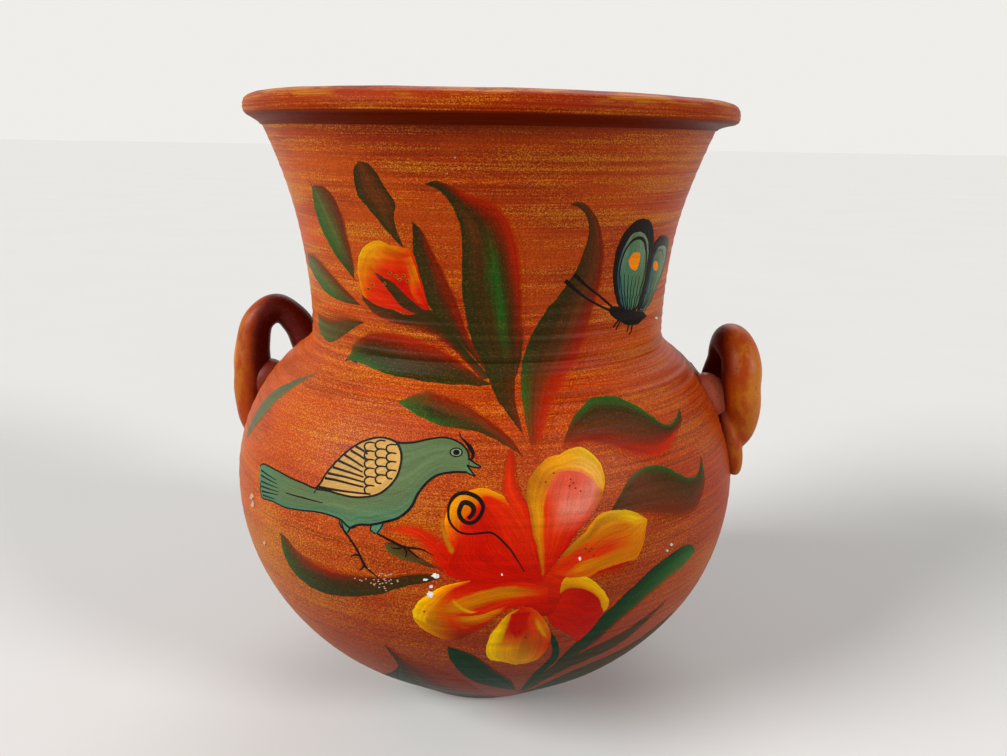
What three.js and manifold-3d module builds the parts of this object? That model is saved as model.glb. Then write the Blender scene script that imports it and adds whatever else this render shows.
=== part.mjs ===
// Hand-built earthenware vase: a round-bellied pot with a flaring neck, a heavy lip and two coil handles.
// Millimetres, +Z up, origin at the middle of the flat base, handles on X, painted side towards -Y.
// Each piece of clay is a closed solid of its own. Luted joints are flat rings, or saddles with a thin gap.

import * as THREE from 'three';
import { mergeVertices } from 'three/addons/utils/BufferGeometryUtils.js';
import Module from 'manifold-3d';

const wasm = await Module();
wasm.setup();

// Outer shape of the pot
const baseRadius = 37;
const baseRound = 3;
const bellyRadius = 106.5;
const bellyHeight = 97.5;
const flankLength = 37.5433;
const shoulderArc = 65.7;
const seamHeight = 61;
const shoulderSpan = 32.5;
const neckArc = 195;
const neckWaistHeight = 160;
const neckTopHeight = 239.5;

// Wall of the pot
const floorThickness = 9;
const bodyWall = 7;
const neckWall = 6.5;

// Lip
const lipOverhang = 7.76;
const lipEdgeRise = 4.9;
const lipRise = 12.5;
const lipFaceLean = 1;
const lipCrownWidth = 8.5;
const lipCrownHeight = 4.6;
const lipInnerWidth = 3;
const lipInnerHeight = 5;

// Gap left by the slip at the pressed joints
const luteGap = 0.3;

// Facets
const roundSegments = 60;
const arcSteps = 9;
const lipSteps = 3;
const coilSides = 14;
const coilSteps = 30;
const pelletSegments = 16;

// Handles. Each loop is a spline through points given as [distance outside the belly's widest ring,
// distance towards the painted side, height above the widest ring]; its two ends sit on the wall.
const rightHandle = {
  side: 1,
  upperJoint: { height: 36, front: -16 },
  loop: [[-8, -14, 49], [-5, -4, 58], [0.5, 4, 53], [2.5, 7, 41], [1, 7, 25]],
  lowerJoint: { height: 12, front: 5 },
  coilRadius: 7.5,
  endRadius: 5.6,
  tail: { length: 14, width: 6.5, thickness: 4.6, height: 15, front: 5 },
  pellet: { length: 10, width: 6, thickness: 6.5, height: 38, front: 2 },
};
const leftHandle = {
  side: -1,
  upperJoint: { height: 45, front: -5 },
  loop: [[-18, -4, 54], [-10.5, -1, 61.5], [-3, 3, 58.5], [0.5, 4, 47], [1.5, 5, 34], [1, 6, 21]],
  lowerJoint: { height: 5, front: 6 },
  coilRadius: 7.4,
  endRadius: 5.6,
  tail: { length: 13, width: 6.5, thickness: 4.6, height: 9, front: 6 },
  pellet: { length: 10, width: 6, thickness: 6.5, height: 29, front: 3 },
};

// The bowl's circle touches a straight flank of this length that starts at the base edge
const bellySpan = bellyRadius - baseRadius;
const bowlArc = (bellySpan ** 2 + bellyHeight ** 2 - flankLength ** 2) / (2 * bellySpan);

// Circles of the outer shape, each on the line through the belly or the waist of the neck
const bowlCentre = bellyRadius - bowlArc;
const shoulderCentre = bellyRadius - shoulderArc;
const neckFootRadius = bellyRadius - shoulderSpan;
const neckCentre = neckFootRadius + neckArc;

// Angle on the bowl's circle at which the flank from the base edge touches it
const toBase = new THREE.Vector2(baseRadius - bowlCentre, -bellyHeight);
const flankTurn = Math.acos(bowlArc / toBase.length());
const flankAngle = toBase.angle() - 2 * Math.PI + flankTurn;
const shoulderTop = bellyHeight + Math.sqrt(shoulderArc ** 2 - (neckFootRadius - shoulderCentre) ** 2);

// Points on a circle about (centre, height), with angles measured from the outward direction
function arc(centre, height, radius, from, to, steps = arcSteps) {
  const points = [];
  for (let i = 0; i <= steps; i += 1) {
    const angle = THREE.MathUtils.lerp(from, to, i / steps);
    points.push(new THREE.Vector2(centre + radius * Math.cos(angle), height + radius * Math.sin(angle)));
  }
  return points;
}

// Angle on a circle about `middle` at which it passes the given height
const angleAt = (height, middle, radius) => Math.asin((height - middle) / radius);

// Radius of the pot's outer face at a height above the belly's widest ring
function wallRadius(height) {
  const radius = height < 0 ? bowlArc : shoulderArc;
  return bellyRadius - radius + Math.sqrt(radius ** 2 - height ** 2);
}

// Bowl from base edge to seam, moved inwards by `inset`
function bowlOutline(inset) {
  const radius = bowlArc - inset;
  return arc(bowlCentre, bellyHeight, radius, flankAngle, angleAt(seamHeight, bellyHeight, radius));
}

// Belly and shoulder from seam to the given radius at the neck foot, moved inwards by `inset`
function bodyOutline(inset, footRadius) {
  const low = bowlArc - inset;
  const high = shoulderArc - inset;
  const belly = arc(bowlCentre, bellyHeight, low, angleAt(seamHeight, bellyHeight, low), 0, arcSteps / 3);
  const shoulder = arc(shoulderCentre, bellyHeight, high, 0, Math.acos((footRadius - shoulderCentre) / high));
  return [...belly, ...shoulder.slice(1)];
}

// Neck from foot to top, moved inwards by `inset`; its circle lies outside the pot
function neckOutline(inset) {
  const radius = neckArc + inset;
  const foot = Math.PI - angleAt(shoulderTop, neckWaistHeight, radius);
  const top = Math.PI - angleAt(neckTopHeight, neckWaistHeight, radius);
  return arc(neckCentre, neckWaistHeight, radius, foot, top);
}

// Closed outline turned about the vertical axis
function turned(outline) {
  const geometry = new THREE.LatheGeometry(outline, roundSegments);
  geometry.rotateX(Math.PI / 2);
  return geometry;
}

function toSolid(geometry) {
  const bare = geometry.clone();
  bare.deleteAttribute('normal');
  bare.deleteAttribute('uv');
  const merged = mergeVertices(bare, 1e-4);
  const corners = merged.index.array;
  const triangles = [];
  for (let i = 0; i < corners.length; i += 3) {
    const [a, b, c] = corners.slice(i, i + 3);
    if (a !== b && b !== c && c !== a) triangles.push(a, b, c);
  }
  return new wasm.Manifold(new wasm.Mesh({
    numProp: 3,
    vertProperties: new Float32Array(merged.attributes.position.array),
    triVerts: new Uint32Array(triangles),
  }));
}

function toGeometry(solid) {
  const mesh = solid.getMesh();
  const geometry = new THREE.BufferGeometry();
  geometry.setAttribute('position', new THREE.BufferAttribute(mesh.vertProperties, 3));
  geometry.setIndex(new THREE.BufferAttribute(mesh.triVerts, 1));
  geometry.computeVertexNormals();
  return geometry;
}

// Pressed bottom: flat base with a rounded edge, straight flank, round wall, flat joint ring on top
function lowerBowl() {
  const outside = bowlOutline(0);
  const inside = bowlOutline(bodyWall);
  const flank = outside[0].clone().sub(new THREE.Vector2(baseRadius, 0)).normalize();
  const edge = new THREE.QuadraticBezierCurve(
    new THREE.Vector2(baseRadius - baseRound, 0),
    new THREE.Vector2(baseRadius, 0),
    new THREE.Vector2(baseRadius, 0).addScaledVector(flank, baseRound),
  );
  const drop = (inside[0].y - floorThickness) / flank.y;
  const floorEdge = inside[0].clone().addScaledVector(flank, -drop);
  return turned([
    new THREE.Vector2(0, 0),
    ...edge.getPoints(3),
    ...outside,
    ...inside.reverse(),
    floorEdge,
    new THREE.Vector2(0, floorThickness),
  ]);
}

// Upper belly and shoulder: the inside is cut through to the width of the neck's own inside
function upperBody() {
  const neckInside = neckOutline(neckWall)[0];
  const inside = [...bodyOutline(bodyWall, neckInside.x), neckInside];
  return wallRing(bodyOutline(0, neckFootRadius), inside);
}

// Wall piece between two flat joint rings
function wallRing(outside, inside) {
  return turned([...outside, ...inside.reverse(), outside[0].clone()]);
}

// Heavy lip: flat seat on the neck, sloping undercut, leaning face, round crown
function rimCoil() {
  const outer = neckOutline(0).at(-1);
  const inner = neckOutline(neckWall).at(-1);
  const edge = new THREE.Vector2(outer.x + lipOverhang, outer.y + lipEdgeRise);
  const top = outer.y + lipRise;
  const crown = edge.x - lipFaceLean - lipCrownWidth;
  const section = new THREE.Path();
  section.moveTo(inner.x, inner.y);
  section.lineTo(outer.x, outer.y);
  section.lineTo(edge.x, edge.y);
  section.absellipse(crown, top - lipCrownHeight, lipCrownWidth, lipCrownHeight, 0, Math.PI / 2);
  section.absellipse(crown, top - lipInnerHeight, lipInnerWidth, lipInnerHeight, Math.PI / 2, Math.PI);
  section.lineTo(inner.x, inner.y);
  return turned(section.getPoints(lipSteps));
}

// The pot filled to its axis and grown by the lute gap: what pressed-on clay is cut back to
function potCutter() {
  const body = bodyOutline(-luteGap, neckFootRadius);
  const floor = new THREE.Vector2(0, body[0].y);
  const roof = new THREE.Vector2(0, body.at(-1).y);
  return toSolid(turned([floor, ...body, roof]));
}

// Round coil along a curve, thinning towards its end
function coil(curve, radiusAt) {
  const frames = curve.computeFrenetFrames(coilSteps, false);
  const vertices = [];
  const faces = [];
  for (let i = 0; i <= coilSteps; i += 1) {
    const middle = curve.getPointAt(i / coilSteps);
    for (let j = 0; j < coilSides; j += 1) {
      const turn = (2 * Math.PI * j) / coilSides;
      const spoke = frames.normals[i].clone().multiplyScalar(Math.cos(turn));
      spoke.addScaledVector(frames.binormals[i], Math.sin(turn));
      vertices.push(...middle.clone().addScaledVector(spoke, radiusAt(i / coilSteps)));
    }
  }
  for (let i = 0; i < coilSteps; i += 1) {
    for (let j = 0; j < coilSides; j += 1) {
      const a = i * coilSides + j;
      const b = i * coilSides + ((j + 1) % coilSides);
      faces.push(a, b, b + coilSides, a, b + coilSides, a + coilSides);
    }
  }
  const last = coilSteps * coilSides;
  for (let j = 1; j < coilSides - 1; j += 1) {
    faces.push(0, j + 1, j, last, last + j, last + j + 1);
  }
  const geometry = new THREE.BufferGeometry();
  geometry.setAttribute('position', new THREE.Float32BufferAttribute(vertices, 3));
  geometry.setIndex(faces);
  return geometry;
}

// Point beside the pot, on a handle's own side
function beside(handle, outward, front, height) {
  return new THREE.Vector3(handle.side * outward, -front, bellyHeight + height);
}

// Point in the wall on a handle's own side, `depth` under the outer face
function inWall(handle, depth, front, height) {
  const outward = Math.sqrt((wallRadius(height) - depth) ** 2 - front ** 2);
  return beside(handle, outward, front, height);
}

// Pellet of clay on the wall, longest along the slope
function pellet(handle, size, growth = 0) {
  const tilt = Math.asin(size.height / shoulderArc);
  const geometry = new THREE.SphereGeometry(1, pelletSegments, pelletSegments / 2);
  geometry.rotateX(Math.PI / 2);
  geometry.scale(size.thickness + growth, size.width + growth, size.length + growth);
  geometry.rotateY(-tilt);
  geometry.scale(handle.side, handle.side, 1);
  const at = inWall(handle, 0, size.front, size.height);
  geometry.translate(at.x, at.y, at.z);
  return geometry;
}

// Handle coil through its points, with its ends rooted a wall deep before the cut
function handleCoil(handle, growth) {
  const rooted = (joint) => inWall(handle, bodyWall, joint.front, joint.height);
  const loop = handle.loop.map(([out, front, up]) => beside(handle, bellyRadius + out, front, up));
  const curve = new THREE.CatmullRomCurve3([rooted(handle.upperJoint), ...loop, rooted(handle.lowerJoint)]);
  const thinning = handle.coilRadius - handle.endRadius;
  return toSolid(coil(curve, (along) => handle.coilRadius - thinning * along ** 3 + growth));
}

// Coil with its smeared tail, cut back to the wall
function handleSolid(handle, cutter) {
  return handleCoil(handle, 0).add(toSolid(pellet(handle, handle.tail))).subtract(cutter);
}

// Pellet in the corner of the loop, cut back to the wall and to its handle
function wadSolid(handle, cutter) {
  const keepClear = handleCoil(handle, luteGap).add(toSolid(pellet(handle, handle.tail, luteGap)));
  return toSolid(pellet(handle, handle.pellet)).subtract(keepClear).subtract(cutter);
}

const vase = new THREE.Group();

function addPiece(name, geometry, color, roughness) {
  const material = new THREE.MeshStandardMaterial({ color, roughness, metalness: 0 });
  const mesh = new THREE.Mesh(geometry, material);
  mesh.name = name;
  vase.add(mesh);
}

const cutter = potCutter();
addPiece('lower_bowl', lowerBowl(), 0xa63d16, 0.5);
addPiece('upper_body', upperBody(), 0xb9501c, 0.5);
addPiece('neck_collar', wallRing(neckOutline(0), neckOutline(neckWall)), 0xb4491a, 0.5);
addPiece('rim_coil', rimCoil(), 0xa8451d, 0.45);
addPiece('right_handle', toGeometry(handleSolid(rightHandle, cutter)), 0xb5561a, 0.45);
addPiece('left_handle', toGeometry(handleSolid(leftHandle, cutter)), 0xb5561a, 0.45);
addPiece('right_handle_wad', toGeometry(wadSolid(rightHandle, cutter)), 0x9c4420, 0.5);
addPiece('left_handle_wad', toGeometry(wadSolid(leftHandle, cutter)), 0x9c4420, 0.5);

export default vase;
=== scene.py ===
# %% [markdown]
# # A hand-painted earthenware vase
#
# The real pot is a pressed bowl, a turned upper body and a flared neck, luted together, with a heavy lip
# and two coil handles. It is brushed with rust and ochre paint, decorated with flowers, leaves, a bird and
# a butterfly, and varnished. The imported CAD pieces give every size, so the lesson starts by loading them as
# a fixed frame.

# %% Load the fixed frame
import math

import bpy
import numpy as np
from mathutils import Matrix, Vector
from mathutils.kdtree import KDTree


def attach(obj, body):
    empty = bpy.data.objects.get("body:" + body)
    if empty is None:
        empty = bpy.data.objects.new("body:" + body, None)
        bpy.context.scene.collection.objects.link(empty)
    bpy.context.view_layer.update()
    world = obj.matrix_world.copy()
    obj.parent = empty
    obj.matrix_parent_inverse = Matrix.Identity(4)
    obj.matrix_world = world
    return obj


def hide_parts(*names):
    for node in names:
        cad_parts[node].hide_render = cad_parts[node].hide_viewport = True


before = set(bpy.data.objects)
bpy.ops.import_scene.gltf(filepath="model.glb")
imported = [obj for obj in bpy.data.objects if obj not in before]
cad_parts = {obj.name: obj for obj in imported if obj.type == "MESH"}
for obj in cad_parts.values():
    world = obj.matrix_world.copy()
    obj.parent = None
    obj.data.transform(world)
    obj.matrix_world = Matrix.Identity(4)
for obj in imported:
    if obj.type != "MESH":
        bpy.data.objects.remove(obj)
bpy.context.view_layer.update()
MM = 0.001
print("CAD nodes:", sorted(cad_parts))

# %% [markdown]
# ## Where the camera stands
#
# A photograph fixes a camera by its focal length, height, distance and tilt. The lens here is wide and
# close, which is why the lip looks so broad and the foot so small. The same numbers later turn a pixel of
# the photograph into a place on the pot, so they are kept as named values instead of being typed into the
# camera.

# %% Camera
PHOTO_WIDTH, PHOTO_HEIGHT = 1007, 756
FOCAL_PIXELS = 950.0
SENSOR_MM = 36.0
NEAREST_SEEN = 0.01
CAMERA_AT_MM = (76.9, -394.6, 235.0)
CAMERA_HEADING, CAMERA_PITCH, CAMERA_ROLL = 10.0, 14.065, 0.86


def camera_rotation():
    """Turn about the pot, then tilt down, then the slight roll of a camera held by hand."""
    heading = Matrix.Rotation(math.radians(CAMERA_HEADING), 3, "Z")
    pitch = Matrix.Rotation(math.radians(90 - CAMERA_PITCH), 3, "X")
    roll = Matrix.Rotation(math.radians(CAMERA_ROLL), 3, "Z")
    return heading @ pitch @ roll


camera_data = bpy.data.cameras.new("camera")
camera_data.sensor_width = SENSOR_MM
camera_data.lens = FOCAL_PIXELS / PHOTO_WIDTH * SENSOR_MM
camera_data.clip_start = NEAREST_SEEN
camera = bpy.data.objects.new("camera", camera_data)
camera.matrix_world = Matrix.Translation(Vector(CAMERA_AT_MM) * MM) @ camera_rotation().to_4x4()
bpy.context.scene.collection.objects.link(camera)
bpy.context.scene.camera = camera
print("Lens:", round(camera_data.lens, 2), "mm")

# %% [markdown]
# ## The outline of the pot
#
# A turned pot is one outline spun round an axis. This one is a straight flank, the bowl's arc, the
# shoulder's tighter arc and the hollow arc of the neck. It could be a curve object with a Screw modifier,
# but plain numbers let the same outline carry the paint later, so it is kept as two arrays: radius and
# height.

# %% Outline, in millimetres
BASE_RADIUS = 37.0
BELLY_RADIUS, BELLY_HEIGHT = 106.5, 97.5
BOWL_ARC, SHOULDER_ARC = 93.0, 65.7
SEAM_HEIGHT = 61.0
NECK_FOOT_RADIUS = 74.0
NECK_ARC, NECK_WAIST = 195.0, 160.0
NECK_TOP = 239.5
WALL_BODY, WALL_NECK, FLOOR = 7.0, 6.5, 9.0
OUTLINE_STEP = 0.2
CORNER_SOFTNESS = 3.2
CORNER_SPAN = 60
CORNER_REACH = 9.0

bowl_centre = BELLY_RADIUS - BOWL_ARC
shoulder_centre = BELLY_RADIUS - SHOULDER_ARC
neck_centre = NECK_FOOT_RADIUS + NECK_ARC
shoulder_top = BELLY_HEIGHT + math.sqrt(SHOULDER_ARC**2 - (NECK_FOOT_RADIUS - shoulder_centre) ** 2)
to_base = complex(BASE_RADIUS - bowl_centre, -BELLY_HEIGHT)
flank_angle = math.atan2(to_base.imag, to_base.real) + math.acos(BOWL_ARC / abs(to_base))


def arc(centre, height, radius, start, end):
    """Points of an arc in the plane of radius and height."""
    angles = np.linspace(start, end, max(3, int(abs(end - start) * radius / OUTLINE_STEP)))
    return np.stack([centre + radius * np.cos(angles), height + radius * np.sin(angles)], 1)


def way_along(points):
    """The distance along a line from its first point to each of its points."""
    return np.concatenate([[0], np.cumsum(np.linalg.norm(np.diff(points, axis=0), axis=1))])


def at_distances(points, distances):
    """Points on a line at distances from its start."""
    length = way_along(points)
    return np.stack([np.interp(distances, length, column) for column in points.T], 1)


def pot_outline():
    """Radius and height from the base edge to the top of the neck, with the neck's foot softened."""
    bowl = arc(bowl_centre, BELLY_HEIGHT, BOWL_ARC, flank_angle, 0)
    shoulder_end = math.asin((shoulder_top - BELLY_HEIGHT) / SHOULDER_ARC)
    shoulder = arc(shoulder_centre, BELLY_HEIGHT, SHOULDER_ARC, 0, shoulder_end)
    foot, top = (math.pi - math.asin((z - NECK_WAIST) / NECK_ARC) for z in (shoulder_top, NECK_TOP))
    neck = arc(neck_centre, NECK_WAIST, NECK_ARC, foot, top)
    flank = np.linspace((BASE_RADIUS, 0), bowl[0], int(np.hypot(*bowl[0]) / OUTLINE_STEP / 2))
    points = np.concatenate([flank, bowl[1:], shoulder[1:], neck[1:]])
    points = at_distances(points, np.arange(0, way_along(points)[-1], OUTLINE_STEP))
    reach = np.arange(-CORNER_SPAN, CORNER_SPAN + 1) * OUTLINE_STEP
    kernel = np.exp(-0.5 * (reach / CORNER_SOFTNESS) ** 2)
    padded = np.pad(points, ((CORNER_SPAN, CORNER_SPAN), (0, 0)), mode="reflect", reflect_type="odd")
    soft = np.stack([np.convolve(column, kernel / kernel.sum(), "valid") for column in padded.T], 1)
    near_foot = np.exp(-(((points[:, 1] - shoulder_top) / CORNER_REACH) ** 2))[:, None]
    return points + (soft - points) * near_foot


outline = pot_outline()
slope = np.gradient(outline, axis=0)
slope /= np.hypot(*slope.T)[:, None]
outline_normal = np.stack([slope[:, 1], -slope[:, 0]], 1)


def outline_at(height):
    """Radius, and the outward normal's two parts, at heights in millimetres."""
    columns = (outline[:, 0], outline_normal[:, 0], outline_normal[:, 1])
    return [np.interp(height, outline[:, 1], column) for column in columns]


print("Outline points:", len(outline), "top radius", round(float(outline[-1, 0]), 1))

# %% [markdown]
# ## Relief from the wheel and the hand
#
# Fingers and ribs leave rings in wet clay, strongest where the neck was thrown onto the shoulder. A bump
# map could fake them, but then the model itself would be smooth. Here a sum of cosines moves the skin in
# and out: long waves for the hand, short ones for the rings. It repeats exactly round the pot and can be
# asked for at any place, so that the paint follows it too.

# %% Relief function
SKIN_INSET = 0.45
RING_COUNT, SWELL_COUNT = 34, 10
RING_SHORT, RING_LONG = 1.3, 5.5
SWELL_SHORT, SWELL_LONG = 40, 110
RING_HEIGHTS = [0, SEAM_HEIGHT, 100, 138, 152, 166, 190, NECK_TOP]
RING_DEPTHS = [0.02, 0.02, 0.03, 0.06, 0.12, 0.09, 0.03, 0.03]
RING_SHARE = 2.2
SWELL_DEPTH = 0.035
SEAM_DEPTH, SEAM_WIDTH = 0.12, 0.7
rng = np.random.default_rng(11)
ring_length = rng.uniform(RING_SHORT, RING_LONG, RING_COUNT)
ring_lead = rng.integers(-2, 3, RING_COUNT)
ring_phase = rng.uniform(0, 2 * np.pi, RING_COUNT)
swell_length = rng.uniform(SWELL_SHORT, SWELL_LONG, SWELL_COUNT)
swell_lead = rng.integers(-3, 4, SWELL_COUNT)
swell_phase = rng.uniform(0, 2 * np.pi, SWELL_COUNT)


def ring_depth(height):
    """How deep the throwing rings are: shallow on the bowl, deep at the neck's foot, light above it."""
    return np.interp(height, RING_HEIGHTS, RING_DEPTHS)


def relief(turn, height):
    """Distance out from the outline, in millimetres, at a turn in radians and a height in millimetres."""
    height = np.asarray(height, float)
    rings = sum(
        np.cos(2 * np.pi * height / length + lead * turn + phase) * length / RING_LONG
        for length, lead, phase in zip(ring_length, ring_lead, ring_phase)
    )
    swell = sum(
        np.cos(2 * np.pi * height / length + lead * turn + phase)
        for length, lead, phase in zip(swell_length, swell_lead, swell_phase)
    )
    seam = -SEAM_DEPTH * np.exp(-(((height - SEAM_HEIGHT) / SEAM_WIDTH) ** 2))
    return -SKIN_INSET + ring_depth(height) * rings / RING_SHARE + SWELL_DEPTH * swell + seam


def skin(turn, height, lift=0.0):
    """Points on the pot's skin in metres, raised by lift millimetres along the outward normal."""
    radius, out, up = outline_at(height)
    away = relief(turn, height) + lift
    reach = radius + away * out
    return np.stack([reach * np.cos(turn), reach * np.sin(turn), height + away * up], -1) * MM


sample_turn = np.linspace(0, 2 * np.pi, 400)
print("Relief at the neck's foot:", np.round(np.ptp(relief(sample_turn, shoulder_top)), 2), "mm")

# %% [markdown]
# ## Turning a section into a mesh
#
# Every turned piece is a stack of rings. Joining each ring to the next gives a clean grid of quads, which
# shades well and holds the relief. The stack closes on itself, so each piece is a solid shell with a real
# inside and real joint faces.

# %% Mesh helpers
AROUND = 360
turns = np.arange(AROUND) * 2 * np.pi / AROUND


def make_piece(name, points, faces, node=None, sharp_degrees=40):
    """A smooth mesh object on the pot's only body, standing for a CAD node where one is named."""
    mesh = bpy.data.meshes.new(name)
    mesh.from_pydata(points.reshape(-1, 3).tolist(), [], faces)
    mesh.shade_smooth()
    mesh.set_sharp_from_angle(angle=math.radians(sharp_degrees))
    piece = bpy.data.objects.new(name, mesh)
    bpy.context.scene.collection.objects.link(piece)
    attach(piece, "root")
    if node:
        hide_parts(node)
    return piece


def grid_faces(rows, columns, wrap_rows=False, wrap_columns=False):
    """Faces of four corners over a grid of points, joined round on itself where asked."""
    row = np.arange(rows if wrap_rows else rows - 1)[:, None]
    column = np.arange(columns if wrap_columns else columns - 1)[None, :]
    below, above = row * columns, (row + 1) % rows * columns
    after = (column + 1) % columns
    corners = np.stack([below + column, below + after, above + after, above + column], -1)
    return corners.reshape(-1, 4).tolist()


def plain_rings(section):
    """Rings of a smooth section given as radius and height in millimetres."""
    section = np.asarray(section, float)
    spun = np.stack([np.cos(turns), np.sin(turns)], -1)
    flat = section[:, None, :1] * spun[None]
    tall = np.broadcast_to(section[:, 1, None, None], (len(section), AROUND, 1))
    return np.concatenate([flat, tall], -1) * MM


def skin_rings(low, high, step):
    """Rings of the pot's relief skin between two heights, evenly spaced along the slope."""
    inside = (outline[:, 1] >= low) & (outline[:, 1] <= high)
    section = outline[inside]
    length = way_along(section)[-1]
    heights = at_distances(section, np.linspace(0, length, int(length / step) + 1))[:, 1]
    heights[0], heights[-1] = low, high
    return skin(turns[None, :], heights[:, None])


print("Facets round the pot:", AROUND)

# %% [markdown]
# ## Bowl, body and neck
#
# The potter pressed the bowl in a mould, set the upper body on it and threw the neck on top. The three
# pieces meet at flat rings that the paint hides, so their skins share the same outline and relief. The
# inside keeps the marks of the fingers, as stronger rings on a plain section.

# %% Turned pieces
SKIN_STEP, INSIDE_STEP = 0.62, 2.2
FAN_RADIUS = 0.8
FOOT_EDGE = [(FAN_RADIUS, 0.0), (18.0, 0.0), (30.0, 0.0), (33.6, 0.0), (35.1, 0.3), (36.2, 1.0)]
FOOT_TOP = 2.2
FINGER_RING = 0.28
FINGER_WAVES = [(1.0, 0.9, 1), (0.5, 2.1, -1)]
FINGER_FADE_RINGS, FINGER_LEAST_RADIUS = 4, 20
INSIDE_TOP_RADIUS = neck_centre - math.sqrt((NECK_ARC + WALL_NECK) ** 2 - (shoulder_top - NECK_WAIST) ** 2)


def finger_rings(section):
    """An inside wall with finger marks, from points of radius and height that run downwards."""
    section = np.asarray(section, float)
    length = way_along(section)[-1]
    even = at_distances(section, np.linspace(0, length, int(length / INSIDE_STEP) + 1))
    radius, height = even[:, :1], even[:, 1:]
    rings = plain_rings(even)
    wave = sum(amount * np.cos(height * rate + lead * turns) for amount, rate, lead in FINGER_WAVES)
    order = np.arange(len(even))
    fade = np.clip(np.minimum(order, order[::-1]) / FINGER_FADE_RINGS, 0, 1)[:, None]
    rings[..., :2] *= 1 + (FINGER_RING * wave * fade / np.maximum(radius, FINGER_LEAST_RADIUS))[..., None]
    return rings


def shell(name, outside, inside, node):
    """A wall closed by flat joint rings at its top and bottom."""
    rings = np.concatenate([outside, inside])
    faces = grid_faces(len(rings), AROUND, wrap_rows=True, wrap_columns=True)
    return make_piece(name, rings, faces, node)


def bowl_piece():
    """The bowl: foot, skin and inside as one stack of rings, closed by a fan at each end."""
    arc_inside = BOWL_ARC - WALL_BODY
    seam_angle = math.asin((SEAM_HEIGHT - BELLY_HEIGHT) / arc_inside)
    wall_inside = arc(bowl_centre, BELLY_HEIGHT, arc_inside, flank_angle, seam_angle)[::-1]
    flank = np.array([-math.sin(flank_angle), math.cos(flank_angle)])
    floor_edge = wall_inside[-1] - flank * (wall_inside[-1][1] - FLOOR) / flank[1]
    inside = finger_rings([*wall_inside, floor_edge, (floor_edge[0] / 2, FLOOR), (FAN_RADIUS, FLOOR)])
    rings = np.concatenate([plain_rings(FOOT_EDGE), skin_rings(FOOT_TOP, SEAM_HEIGHT, SKIN_STEP), inside])
    faces = grid_faces(len(rings), AROUND, wrap_columns=True)
    last = (len(rings) - 1) * AROUND
    centre_below, centre_inside = rings[0].mean(0), rings[-1].mean(0)
    count = len(rings) * AROUND
    for k in range(AROUND):
        after = (k + 1) % AROUND
        faces += [(count, after, k), (count + 1, last + k, last + after)]
    points = np.concatenate([rings.reshape(-1, 3), [centre_below, centre_inside]])
    return make_piece("bowl", points, faces, "lower_bowl")


def body_piece():
    """The upper body, whose inside follows the outside's two arcs at the wall's distance."""
    low, high = BOWL_ARC - WALL_BODY, SHOULDER_ARC - WALL_BODY
    seam_angle = math.asin((SEAM_HEIGHT - BELLY_HEIGHT) / low)
    top_angle = math.acos((INSIDE_TOP_RADIUS - shoulder_centre) / high)
    belly = arc(bowl_centre, BELLY_HEIGHT, low, seam_angle, 0)
    shoulder = arc(shoulder_centre, BELLY_HEIGHT, high, 0, top_angle)
    inside = np.concatenate([belly, shoulder[1:], [(INSIDE_TOP_RADIUS, shoulder_top)]])[::-1]
    outside = skin_rings(SEAM_HEIGHT, shoulder_top, SKIN_STEP)
    return shell("body", outside, finger_rings(inside), "upper_body")


def neck_piece():
    """The neck, with the same hollow arc inside and out."""
    radius = NECK_ARC + WALL_NECK
    foot, top = (math.pi - math.asin((z - NECK_WAIST) / radius) for z in (shoulder_top, NECK_TOP))
    inside = arc(neck_centre, NECK_WAIST, radius, foot, top)[::-1]
    return shell("neck", skin_rings(shoulder_top, NECK_TOP, SKIN_STEP), finger_rings(inside), "neck_collar")


bowl, body, neck = bowl_piece(), body_piece(), neck_piece()
for piece in (bowl, body, neck):
    print(piece.name, len(piece.data.polygons), "faces")

# %% [markdown]
# ## The heavy lip
#
# The lip is a coil pressed round the neck and turned with a wet rag. It sits a little crooked, lower on the
# right, rounder on the left and with a worn edge. One section would spin into a perfect ring, so two
# sections are blended round the pot, and the ring is then tilted and made slightly lumpy.

# %% Lip
LIP_LEFT = [(83.9, 239.5), (90.4, 239.5), (91.7, 240.4), (93.2, 241.4), (94.9, 242.4), (96.4, 243.3),
            (97.2, 244.2), (97.6, 245.4), (97.6, 247.4), (96.7, 249.5), (94.4, 250.9), (91.0, 251.8),
            (88.2, 251.0), (86.6, 248.4), (85.2, 244.0)]
LIP_RIGHT = [(83.9, 239.5), (90.4, 239.5), (91.8, 240.4), (93.4, 241.3), (95.6, 242.1), (98.0, 242.8),
             (99.3, 243.9), (99.9, 245.6), (99.7, 248.2), (98.3, 250.2), (94.8, 251.3), (91.0, 251.8),
             (88.2, 251.0), (86.8, 248.4), (85.4, 244.0)]
LIP_TILT = 0.75
LIP_INSET, LIP_EASE, LIP_CEILING = 0.25, 5, 251.9
LIP_LUMPS = [(0.12, 7, 1.3), (0.1, 13, 4.0), (0.05, 29, 0.0)]
LIP_RINGS = [(0.07, 4.2, 1), (0.05, 7.3, 0)]
LUMP_RISE = 0.5
LIP_ROUNDING = 7
VIEW_RIGHT = math.radians(CAMERA_HEADING)


def rounded(points, steps):
    """A closed smooth curve through points: Catmull-Rom, with a number of steps to each span."""
    points = np.asarray(points, float)
    before, after, beyond = (np.roll(points, shift, axis=0) for shift in (1, -1, -2))
    t = (np.arange(steps) / steps)[None, :, None]
    a, b, c, d = (p[:, None, :] for p in (before, points, after, beyond))
    curve = 0.5 * (2 * b + (c - a) * t + (2 * a - 5 * b + 4 * c - d) * t**2 + (3 * b - a - 3 * c + d) * t**3)
    return curve.reshape(-1, points.shape[1])


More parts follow.
